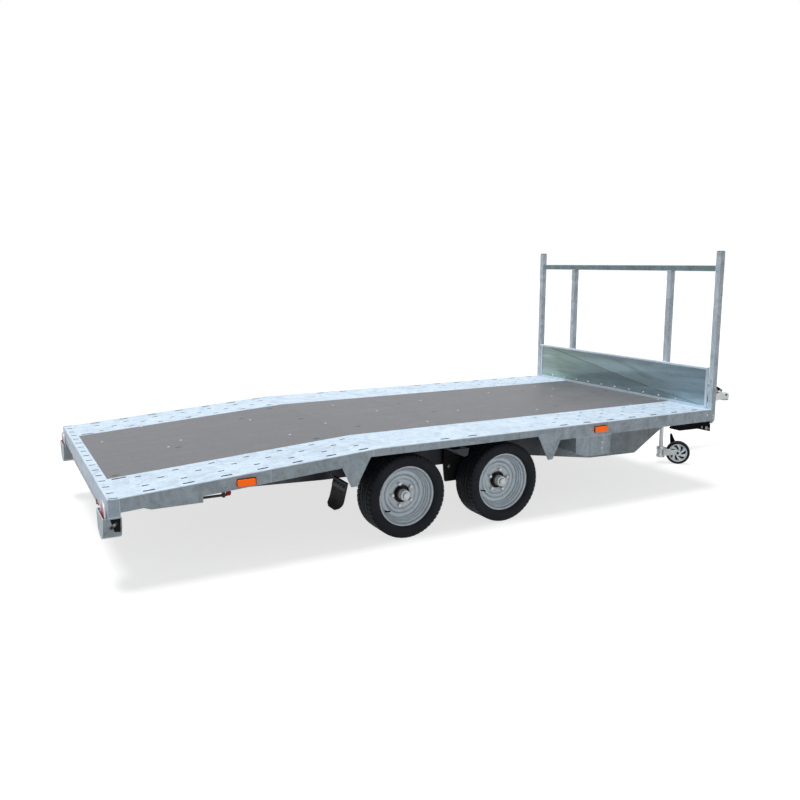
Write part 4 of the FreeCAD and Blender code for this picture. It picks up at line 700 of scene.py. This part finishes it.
DECK, HALF, KINK, FRONT = 0.59, 1.03, AXLE - 0.22, AXLE + 2.48
TAIL_SLOPE = 0.1 / 1.43
BEAM_MID, BEAM_TOP = AXLE - 1.68, 0.49
SLOT_PITCH, WALL, SINK = 0.2, 0.0011, 0.0004
LONG_SLOT, SHORT_SLOT, BEAM_SLOT = mm((60, 18), (34, 14), (48, 14))
SLOT_ROWS = [
    # distance across, first place from the rear axle, copies, length and width
    (0.985, -1.5, 7, LONG_SLOT), (0.985, 0.245, 2, LONG_SLOT), (0.985, 1.155, 7, LONG_SLOT),
    (0.684, -1.5, 7, SHORT_SLOT), (0.783, -1.4, 6, SHORT_SLOT),
    (0.882, -1.5, 7, SHORT_SLOT), (0.684, 1.155, 7, SHORT_SLOT),
    (0.783, 1.255, 6, SHORT_SLOT), (0.882, 1.155, 7, SHORT_SLOT),
    (0.647, -1.593, 1, (0.076, 0.018)),
]


def deck_top(x):
    """Height of the deck's top at a place along the trailer."""
    return DECK - max(0, KINK - x) * TAIL_SLOPE


def slot_collar(x, y, size, deep=0.012, flat=None):
    """A liner of four thin walls just inside a slot's cut: the carrier of the slot's painted
    shade, and in the inner front rows its painted highlight.
    """
    rows = []
    for inset, drop in ((0, SINK), (WALL, SINK), (WALL, deep), (0, deep)):
        row = []
        for a, b in ((-1, -1), (1, -1), (1, 1), (-1, 1)):
            px = x + a * (size[0] / 2 - inset)
            row.append((px, y + b * (size[1] / 2 - inset), (flat or deck_top(px)) - drop))
        rows.append(row)
    form.quads(rows, wrap_v=True)


def make_collars():
    for name, side in SIDES:
        # painted shade in the slot liners; the inner front rows get a painted highlight instead
        for part, bright, material in (("", False, SLOT_SHADE), ("_front", True, EDGE_HIGHLIGHT)):
            for y, first, copies, size in SLOT_ROWS:
                if (first > 1.1 and y < 0.95) == bright:
                    for i in range(copies):
                        slot_collar(AXLE + first + SLOT_PITCH * i, side * y, size)
            form.write("slot_shading_liners" + part + name, material, smooth=20)
    for i in range(15):
        slot_collar(BEAM_MID, -0.91 + 0.13 * i, SHORT_SLOT, 0.004, BEAM_TOP)
    for y in (-1.016, 1.016):
        slot_collar(BEAM_MID, y, BEAM_SLOT, 0.004, BEAM_TOP)
    form.write("slot_shading_liners_beam", SLOT_SHADE, smooth=20)


make_collars()


# ---- chassis between the wheels

def make_hangers():
    """Rubber-faced plates and brackets on the chassis beams between the wheels; the black faces
    are widened as painted shade in the gap between the wheels.
    """
    for name, side in SIDES:
        form.slab(mm((380, 500), (545, 500), (545, 330), (500, 250), (395, 250), (380, 300)),
                  side, (0.7445, 0.752), AXLE)
        form.write("hanger_face" + name, BLACK_RUBBER, bevel=0.002)
        form.box((AXLE + 0.4, AXLE + 0.52), (0.752, 0.7555), (0.402, 0.4045), side)
        form.box((AXLE + 0.395, AXLE + 0.53), (0.752, 0.7555), (0.372, 0.374), side)
        form.write("hanger_ribs" + name, UNDER)
        for x in (0.415, 0.505):
            for z in (0.345, 0.47):
                form.bolt((AXLE + x, side * 0.752, z), (0, side, 0), 0.013)
        form.write("hanger_bolts" + name, ZINC)
        # an outrigger from the chassis beam to the rail
        form.slab(mm((300, 515), (420, 515), (412, 470), (385, 462)), side, (0.744, 0.986), AXLE)
        form.write("outrigger" + name, UNDER, bevel=0.001)


# ---- rails: welds and edges

WELD_STEPS = 14


def rail_low(x):
    """Lower edge of a side rail at a distance ahead of the rear axle."""
    if x < -0.452:
        return deck_top(AXLE + x) - 0.074
    if x < -0.274:
        return 0.52
    return DECK - (0.046 if x < 0.916 else 0.086)


def make_rail_details():
    for name, side in SIDES:
        face = side * HALF
        for x in (-0.871, -0.255, 1.146):
            top, low = deck_top(AXLE + x) - 0.002, rail_low(x) + 0.002
            rows = []
            for i in range(WELD_STEPS + 1):
                z = low + (top - low) * i / WELD_STEPS
                w = 0.0028 + 0.0007 * sin(i * 2.1)
                h = 0.0016 + 0.0004 * sin(i * 1.3 + 1)
                rows.append([(AXLE + x + w * a, face + side * out, z) for a, out in (
                    (-1, -0.0004), (-0.5, h * 0.8), (0, h), (0.5, h * 0.8), (1, -0.0004))])
            form.quads(rows)
        # the deck sheet's rolled edge along the top of the rail
        for ends in ((AXLE - 1.65, KINK), (KINK, FRONT)):
            form.quads([[(x, face + side * out, deck_top(x) - drop) for out, drop in mm(
                (-1, 0.8), (1.2, 1), (1.8, 2.6), (1, 4.4), (-1, 4.6))] for x in ends])
        # welded outline of the rear beam's end cap
        cap = [(AXLE + x, face, z) for x, z in mm((-1708, 394), (-1652, 394), (-1652, 488),
                                                  (-1708, 488))]
        for start, end in zip(cap, cap[1:] + cap[:1]):
            form.rod(start, end, 0.0026)
        form.write("rail_welds" + name, EDGE_HIGHLIGHT, smooth=60)
        form.turned((AXLE + 2.44, face, 0.552), (0, side, 0),
                    mm((-2, 0), (-2, 9), (1.5, 8.5), (3.5, 6), (4.2, 0)), 16)
        form.write("rail_rivets" + name, ZINC)


# ---- rear corner

def make_rear_corner():
    low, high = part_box("lamp_guards")
    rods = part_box("locking_rods")[1]
    for name, side in SIDES:
        # painted shade: a dark plate on the guard's outer side for its shaded opening, with the
        # lamp's plug in it
        form.slab([(low[0] + 0.034, high[2] - 0.006), (high[0] - 0.006, high[2] - 0.006),
                   (high[0] - 0.009, low[2] + 0.05), (low[0] + 0.054, low[2] + 0.052)], side,
                  (high[1] - 0.002, high[1] + 0.0006))
        form.write("guard_opening_shade" + name, PLASTIC, bevel=0.0003)
        run = Vector((0.72, 0, 0.69))
        start = Vector((high[0] - 0.056, side * (high[1] + 0.0002), low[2] + 0.07))
        form.turned(start, run, mm((0, 0), (0, 6.5), (4, 8), (16, 8), (18, 6.2), (34, 6.2),
                                   (36, 8), (44, 8), (46, 0)), 20)
        form.write("lamp_plug" + name, CAST, "black_plastic")
        # painted highlight: a white ring round the plug
        form.turned(start + run * 0.02, run, mm((0, 0), (0, 7.6), (14, 7.6), (14, 0)), 20)
        form.write("lamp_plug_highlight" + name, WHITE_HIGHLIGHT)
        # the release rod's grip below the tail
        form.turned((rods[0] - 0.006, side * 1.008, rods[2] - 0.012), (1, 0, -0.25),
                    mm((0, 0), (0, 9), (4, 13), (18, 14), (24, 10), (26, 0)), 20)
        form.write("release_grip" + name, RED)
        form.turned((AXLE - 1.7015, side * 0.59, 0.37), (-1, 0, 0),
                    mm((0, 0), (0, 21), (5, 21), (8, 18), (9, 0)), 32)
        form.write("rear_reflector" + name, RED)
        for y in (0.622, 0.558):
            form.bolt((AXLE - 1.702, side * y, 0.37), (-1, 0, 0), 0.009)
        form.write("reflector_bolts" + name, ZINC)
    # the rear board with rounded lower corners and a folded lower lip
    low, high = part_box("rear_board")
    outline = [(y, min(z, high[2]))
               for y, z in rounded(low[1], low[2], high[1], high[2] + 0.02, 0.02)]
    form.solid(outline, low[0], high[0], lambda p, v: (v, *p))
    form.box((low[0] + 0.001, low[0] + 0.016), (low[1] + 0.05, high[1] - 0.05),
             (low[2], low[2] + 0.003))
    board = form.write("rear_board_sheet", GALVANISED, bevel=0.0008)
    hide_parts("rear_board")
    for i in range(9):
        form.bolt((low[0], -0.52 + i * 0.13, high[2] - 0.01), (-1, 0, 0), 0.009)
    form.write("rear_board_bolts", ZINC)


# ---- headboard

PANEL_BOLTS = (0.793, 0.625, 0.462, 0.307, 0.138, -0.024, -0.192, -0.352, -0.517, -0.691)
TOP_BOLTS = (-0.521, -0.68, -0.847, 0.3, 0.7)
CREASE_DEEP, CREASE_R = 0.018, 0.0022
SHEET_COLUMNS, SHEET_ROWS = 48, 16
BAR_FOOT, TUBE = 1.585, 0.04


def make_headboard():
    low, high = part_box("headboard_panel")
    face = high[0] - 0.003
    left, right, foot, top = high[1] - 0.01, low[1] - 0.006, low[2], high[2]
    rows = []
    for j in range(SHEET_ROWS + 1):
        v = j / SHEET_ROWS
        row = []
        for i in range(SHEET_COLUMNS + 1):
            u = i / SHEET_COLUMNS
            lift = CREASE_DEEP * (1 - max(abs(2 * u - 1), abs(2 * v - 1)))
            row.append((face - lift, left + (right - left) * u, foot + (top - foot) * v))
        rows.append(row)
    form.sheet(rows, 0.0025)
    panel = form.write("headboard_sheet", PANEL, smooth=5)
    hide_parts("headboard_panel")
    # painted shade: dark rods along one diagonal of the panel's crease
    centre = (face - CREASE_DEEP, (left + right) / 2, (foot + top) / 2)
    for y, z in ((left, top), (right, foot)):
        form.rod(centre, (face, y, z), CREASE_R)
    form.write("headboard_crease_shade", CREASE_SHADE, smooth=60)

    # rolled top edge, foot strip, upright edges
    form.slab([(face + x, top + z) for x, z in mm((-16, -16), (-16, -4), (-12, 0), (1, 0),
                                                  (1, -3), (-11, -3), (-13, -5), (-13, -16))],
              1, (right, left))
    form.box((face - 0.0035, face - 0.0005), (right, left), (DECK + 0.001, foot + 0.01))
    for end, inward in ((right, 0.022), (left, -0.022)):
        form.box((face - 0.005, face - 0.001), (end, end + inward), (foot, top - 0.003))
    form.write("headboard_edges", EDGE_HIGHLIGHT, bevel=0.0006)

    for y in PANEL_BOLTS:
        form.turned((face - 0.0035, y, 0.62), (-1, 0, 0),
                    mm((-4, 0), (-4, 9.5), (0, 9), (3.2, 6.2), (4, 0)), 14)
    for y in TOP_BOLTS:
        form.turned((face - 0.016, y, top - 0.01), (-1, 0, 0),
                    mm((-3, 0), (-3, 7.5), (0, 7), (2.5, 5), (3, 0)), 14)
    for side in (-1, 1):
        for z in (0.548, 0.523, 0.499):
            form.bolt((high[0] + 0.02, side * HALF, z), (0, side, 0), 0.01)
        for z in (0.66, 0.8):
            form.bolt((high[0], side * 1.01, z), (-1, 0, 0), 0.011)
    form.write("headboard_bolts", ZINC)

    low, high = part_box("headboard_frame")
    for side in (-1, 1):
        # plastic plugs in the open tops of the posts
        form.box((low[0] + 0.0025, low[0] + 0.0375), (0.9925, 1.0275),
                 (high[2] - 0.002, high[2] + 0.003), side)
    form.write("post_plugs", PLASTIC, bevel=0.0015)
    for side in (-1, 1):
        for x in (low[0], low[0] + TUBE):
            form.rod((x, side * 0.99, BAR_FOOT), (x, side * 0.99, BAR_FOOT + TUBE), 0.0022)
            for y in (side * 0.575, side * 0.535):
                form.rod((x, y, BAR_FOOT), (x, y + 0.004, BAR_FOOT), 0.0022)
            for z in (0.5915, BAR_FOOT):
                form.rod((x, side * 0.535, z), (x, side * 0.575, z), 0.0026)
    form.write("headboard_welds", EDGE_HIGHLIGHT, smooth=60)


# ---- mudflaps

FLAP_WIDE, FLAP_THICK, FLAP_ROUND = 0.19, 0.008, 0.05
FLAP_BEND, FLAP_LOW = 0.285, 0.228
FLAP_STEPS = 12


def make_mudflaps():
    low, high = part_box("mudflaps")
    inner = high[1] - FLAP_WIDE
    x_top, z_top = high[0] - FLAP_THICK, high[2] + 0.004
    for name, side in SIDES:
        rows = []
        for i in range(FLAP_STEPS + 1):
            z = z_top + (FLAP_LOW - z_top) * i / FLAP_STEPS
            x = x_top - (z_top - z) / 4
            if z < FLAP_BEND:
                x -= (FLAP_BEND - z) * 0.35 * smoothstep(0, 0.05, FLAP_BEND - z)
            drop = max(0, (FLAP_LOW + FLAP_ROUND - z) / FLAP_ROUND)
            pull = FLAP_ROUND * (1 - sqrt(max(0, 1 - drop * drop)))
            wide = FLAP_WIDE - 2 * pull
            rows.append([(x, side * (inner + pull + wide * k / FLAP_STEPS), z)
                         for k in range(FLAP_STEPS + 1)])
        form.sheet(rows, FLAP_THICK)
        form.write("mudflap" + name, BLACK_RUBBER, smooth=50)
        for k in range(4):
            form.bolt((x_top - 0.01, side * (inner + 0.03 + k * 0.0433), z_top - 0.026),
                      (-1, 0, 0.25), 0.01)
        form.write("mudflap_bolts" + name, CAST)
    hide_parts("mudflaps")


# ---- coupling and drawbar

HEIGHT = 0.43
# the coupling's sleeve: ahead of its neck, half width, bottom, top
SLEEVE = mm((0, 34, 396, 464), (6, 37, 393, 467), (85, 37, 393, 467), (100, 34, 396, 466),
            (130, 31, 402, 472), (160, 31, 408, 476))
# its dome over the ball: ahead of the ball, half width, bottom, top
DOME = mm((-50, 34, 408, 476), (-30, 41, 405, 477), (-10, 44.5, 405, 477),
          (10, 43.5, 405, 476), (26, 36, 405, 471), (37, 24, 405, 463), (43.5, 9, 406, 452))
# the handle: ahead of and above its pin, half width, half height
GRIP = mm((14, -4, 11, 9), (4, 6, 13, 11), (-20, 18, 13, 10), (-50, 32, 14.5, 7.5),
          (-85, 46, 15, 6.5), (-115, 54, 15, 7), (-145, 53, 15, 8), (-168, 48, 14.5, 8),
          (-178, 44, 9, 5))


def oval(centre, wide, tall, power, count):
    """Points round an oval across the trailer; a lower power squares it."""
    points = []
    for k in range(count):
        c, s = cos(2 * pi * k / count), sin(2 * pi * k / count)
        points.append((centre[0], copysign(abs(c) ** power, c) * wide,
                       centre[2] + copysign(abs(s) ** power, s) * tall))
    return points


def make_coupling():
    low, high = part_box("coupling_head")
    neck = low[0]
    ball = Vector((high[0] - 0.044, 0, HEIGHT))
    pivot = Vector((ball.x - 0.064, 0, 0.498))
    # the sleeve, then a body that widens into the dome
    rows = [[(neck, 0, HEIGHT)]]
    for x, wide, bottom, top in ([(neck + x, *rest) for x, *rest in SLEEVE]
                                 + [(ball.x + x, *rest) for x, *rest in DOME]):
        rows.append(oval((x, 0, (bottom + top) / 2), wide, (top - bottom) / 2,
                         0.62 if x > neck + 0.1 else 1, 32))
    form.quads(rows + [[(ball.x + 0.044, 0, 0.429)]])
    # rim round the ball's opening and two cheeks for the handle's pin
    form.turned(ball, (0, 0, -1), mm((20, 26), (20, 43), (27, 43.5), (27, 25.5)), 40, loop=True)
    for side in (-1, 1):
        form.slab(mm((-16, 470), (16, 470), (12, 500), (4, 509), (-6, 509), (-13, 500)), side,
                  (0.0155, 0.0205), pivot.x)
    head = form.write("coupling_shell", ZINC, bevel=0.0012, smooth=45)
    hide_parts("coupling_head")
    for x in (neck + 0.025, neck + 0.07):
        form.bolt((x, -0.0365, HEIGHT), (0, -1, 0), 0.017, 0.01)
        form.bolt((x, 0.0365, HEIGHT), (0, 1, 0), 0.017, 0.012)
    form.turned((pivot.x, -0.0265, pivot.z), (0, 1, 0), mm(
        (0, 0), (0, 9), (5, 9), (5, 5.8), (48, 5.8), (48, 9), (53, 9), (53, 0)), 20)
    form.turned((ball.x - 0.018, -0.043, 0.455), (0, -1, 0),
                mm((-4, 0), (-4, 10), (1.5, 9.5), (2.5, 6), (2.5, 0)), 20)
    form.write("coupling_bolts", CAST)

    rows = [[(pivot.x + 0.016, 0, pivot.z - 0.004)]]
    rows += [oval(pivot + Vector((x, 0, z)), wide, tall, 0.6, 20) for x, z, wide, tall in GRIP]
    form.quads(rows + [[(pivot.x - 0.18, 0, pivot.z + 0.043)]])
    handle = form.write("coupling_grip", BLACK, body="coupling_handle", smooth=60)
    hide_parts("coupling_handle")


def make_drawbar_details():
    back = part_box("overrun_housing")[0][0]
    for side in (-1, 1):
        for x, y, z, size, height in (
                (0.045, 0.098, 0.405, 0.019, 0.012), (0.115, 0.098, 0.405, 0.019, 0.012),
                (0.2, 0.048, 0.39, 0.015, 0.01), (0.29, 0.048, 0.39, 0.015, 0.01)):
            form.bolt((back + x, side * y, z), (0, side, 0), size, height)
        for z in (0.478, 0.518):
            form.bolt((AXLE + 2.45, side * 0.402, z), (1, 0, 0), 0.016, 0.01)
    form.write("drawbar_bolts", ZINC)
    # the brake's pull rod and its balance bars
    for start, end in ((0.9, 3.09), (0.19, 0.89)):
        form.rod((AXLE + start, 0, 0.34), (AXLE + end, 0, 0.34), 0.005, 10)
    for x in (AXLE + 0.19, AXLE + 0.89):
        form.box((x - 0.012, x + 0.012), (-0.09, 0.09), (0.33, 0.35))
    form.write("brake_rods", CAST, bevel=0.0005)


# ---- jockey leg and fork

def make_jockey_fork():
    leg = middle("jockey_leg")
    foot = Vector((leg.x, leg.y, 0))
    axle = foot + Vector((0, 0, 0.095)) + JOCKEY_AHEAD * 0.136

    def plate(outline, near, far):
        """An outline of (ahead, height) between two distances across."""
        form.solid(outline, near, far, lambda p, across: (
            foot + JOCKEY_AHEAD * p[0] + Vector((0, 0, p[1])) + JOCKEY_ACROSS * across))

    form.turned((leg.x, leg.y, 0.048), (0, 0, 1), mm(
        (0, 16.2), (0, 31), (3, 34), (20, 34), (24, 30), (60, 30), (64, 34), (83, 34), (87, 31),
        (89, 24), (89, 16.2)), 40, loop=True)
    outline = mm((26, 66), (60, 70), (118, 78))
    for i in range(9):
        a = radians(-80 + 20 * i)
        outline.append((0.136 + 0.026 * cos(a), 0.095 + 0.026 * sin(a)))
    outline += mm((118, 116), (60, 124), (26, 124))
    plate(outline, 0.0284, 0.033)
    plate(outline, -0.0334, -0.028)
    plate(mm((22, 66), (34, 66), (34, 124), (22, 124)), -0.033, 0.033)
    fork = form.write("jockey_fork_plates", ZINC, body="jockey_fork", bevel=0.001, smooth=40)
    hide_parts("jockey_fork")
    form.turned(axle - JOCKEY_ACROSS * 0.042, JOCKEY_ACROSS, mm(
        (0, 0), (0, 11), (6, 11), (8, 6), (76, 6), (77, 11), (84, 11), (84, 0)), 6)
    form.write("jockey_axle_bolt", CAST, body="jockey_fork", bevel=0.0004)
    plate(mm((75, 122), (136, 122), (128, 150), (100, 205), (86, 238), (78, 245), (70, 243),
             (68, 225)), 0.0335, 0.0395)
    form.write("jockey_blade", BLACK, body="jockey_fork", bevel=0.0012)

    for z in (0.398, 0.432):
        form.bolt((leg.x, leg.y - 0.0285, z), (0, -1, 0), 0.013, 0.009)
    form.turned((leg.x, leg.y, 0.366), (0, 0, 1), mm(
        (0, 16.2), (0, 25), (4, 26.2), (10, 26.2), (13, 24.2), (13, 16.2)), 40, loop=True)
    form.turned((leg.x, leg.y, 0.706), (0, 0, 1), mm(
        (0, 20), (0, 25.2), (12, 26.2), (16, 24), (20, 15), (22, 7), (22, 0)), 40)
    form.write("jockey_collars", CAST)


# ---- tool box, front lamp arms

def make_tool_box_details():
    low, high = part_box("tool_box")
    face = low[1]
    form.box((low[0] - 0.003, high[0] + 0.003), (face - 0.004, face + 0.06),
             (high[2] - 0.012, high[2] - 0.001))
    for x, wide, lift in ((low[0] + 0.095, 0.004, 0.004), (high[0] - 0.067, 0.005, 0.002)):
        form.box((x, x + wide), (face - 0.0025, face + 0.001), (low[2] + lift, high[2] - 0.014))
    form.write("tool_box_folds", EDGE_HIGHLIGHT, bevel=0.001)
    for z in (low[2] + 0.05, low[2] + 0.087):
        form.turned((high[0] - 0.072, face, z), (0, -1, 0),
                    mm((-2, 0), (-2, 8), (2, 7.5), (3.5, 5), (4, 0)), 14)
    form.write("tool_box_rivets", ZINC)


def make_front_lamps():
    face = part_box("front_lamp_arms")[1][1]
    for name, side in SIDES:
        # painted highlights: three white studs along each front lamp arm
        for back, z, r in ((0.084, 0.466, 0.0085), (0.036, 0.454, 0.015), (0.012, 0.447, 0.006)):
            form.turned((FRONT - back, side * face, z), (0, side, 0), [
                (-0.002, 0), (-0.002, r), (0.002, r * 0.95), (0.004, r * 0.6), (0.0045, 0)], 20)
        form.write("front_lamp_studs" + name, WHITE_HIGHLIGHT)


make_hangers()
make_rail_details()
make_rear_corner()
make_headboard()
make_mudflaps()
make_coupling()
make_drawbar_details()
make_jockey_fork()
make_tool_box_details()
make_front_lamps()


# ---- floor, light, camera

FLOOR_HALF, FLOOR_LEVEL = 60, -0.0005


def shader(tree, kind, colour, strength=None):
    node = tree.nodes.new("ShaderNode" + kind)
    node.inputs["Color"].default_value = (*colour, 1)
    if strength is not None:
        node.inputs["Strength"].default_value = strength
    return node.outputs[0]


def linked(tree, kind, *sources):
    node = tree.nodes.new("ShaderNode" + kind)
    for source, socket in zip(sources, node.inputs):
        tree.links.new(source, socket)
    return node


def by_ray(tree, output, lit, shown):
    """One shader lights the trailer; the other shows in the camera and in reflections."""
    rays = tree.nodes.new("ShaderNodeLightPath").outputs
    seen = rays["Is Camera Ray"]
    for ray in ("Is Glossy Ray", "Is Transmission Ray"):
        both = linked(tree, "Math", seen, rays[ray])
        both.operation = "MAXIMUM"
        seen = both.outputs[0]
    linked(tree, output, linked(tree, "MixShader", seen, lit, shown).outputs[0])


def make_stage():
    form.quads([[(-FLOOR_HALF, y, FLOOR_LEVEL), (FLOOR_HALF, y, FLOOR_LEVEL)]
                for y in (-FLOOR_HALF, FLOOR_HALF)], wrap_u=False)
    material = bpy.data.materials.new("floor_pale")
    material.use_nodes = True
    tree = material.node_tree
    tree.nodes.clear()
    pale = linked(tree, "AddShader", shader(tree, "BsdfDiffuse", (0.42, 0.42, 0.42)),
                  shader(tree, "Emission", (1, 1, 1), 0.72)).outputs[0]
    by_ray(tree, "OutputMaterial", shader(tree, "BsdfDiffuse", (0.2, 0.2, 0.2)), pale)
    floor = form.item("floor", material)

    world = bpy.data.worlds.new("studio")
    bpy.context.scene.world = world
    world.use_nodes = True
    tree = world.node_tree
    tree.nodes.clear()
    by_ray(tree, "OutputWorld", shader(tree, "Background", (0.96, 0.98, 1), 0.24),
           shader(tree, "Background", (1, 1, 1), 1))

    lamp = bpy.data.lights.new("overhead", "SUN")
    lamp.energy = 2.7
    lamp.angle = radians(24)
    light = bpy.data.objects.new("overhead", lamp)
    light.rotation_euler = Euler((radians(-4), radians(-10), 0))

    view = bpy.data.cameras.new("view")
    view.lens = 36.349
    view.sensor_width = 36
    view.shift_x = -0.0027
    view.shift_y = -0.0072
    camera = bpy.data.objects.new("view", view)
    camera.location = (AXLE - 2.23264, -5.08094, 1.63526)
    camera.rotation_euler = Euler([radians(a) for a in (80.81125, -0.09318, -28.04876)])
    for item in (light, camera):
        bpy.context.scene.collection.objects.link(item)
    bpy.context.scene.camera = camera
    bpy.context.scene.view_settings.view_transform = "Standard"


make_stage()
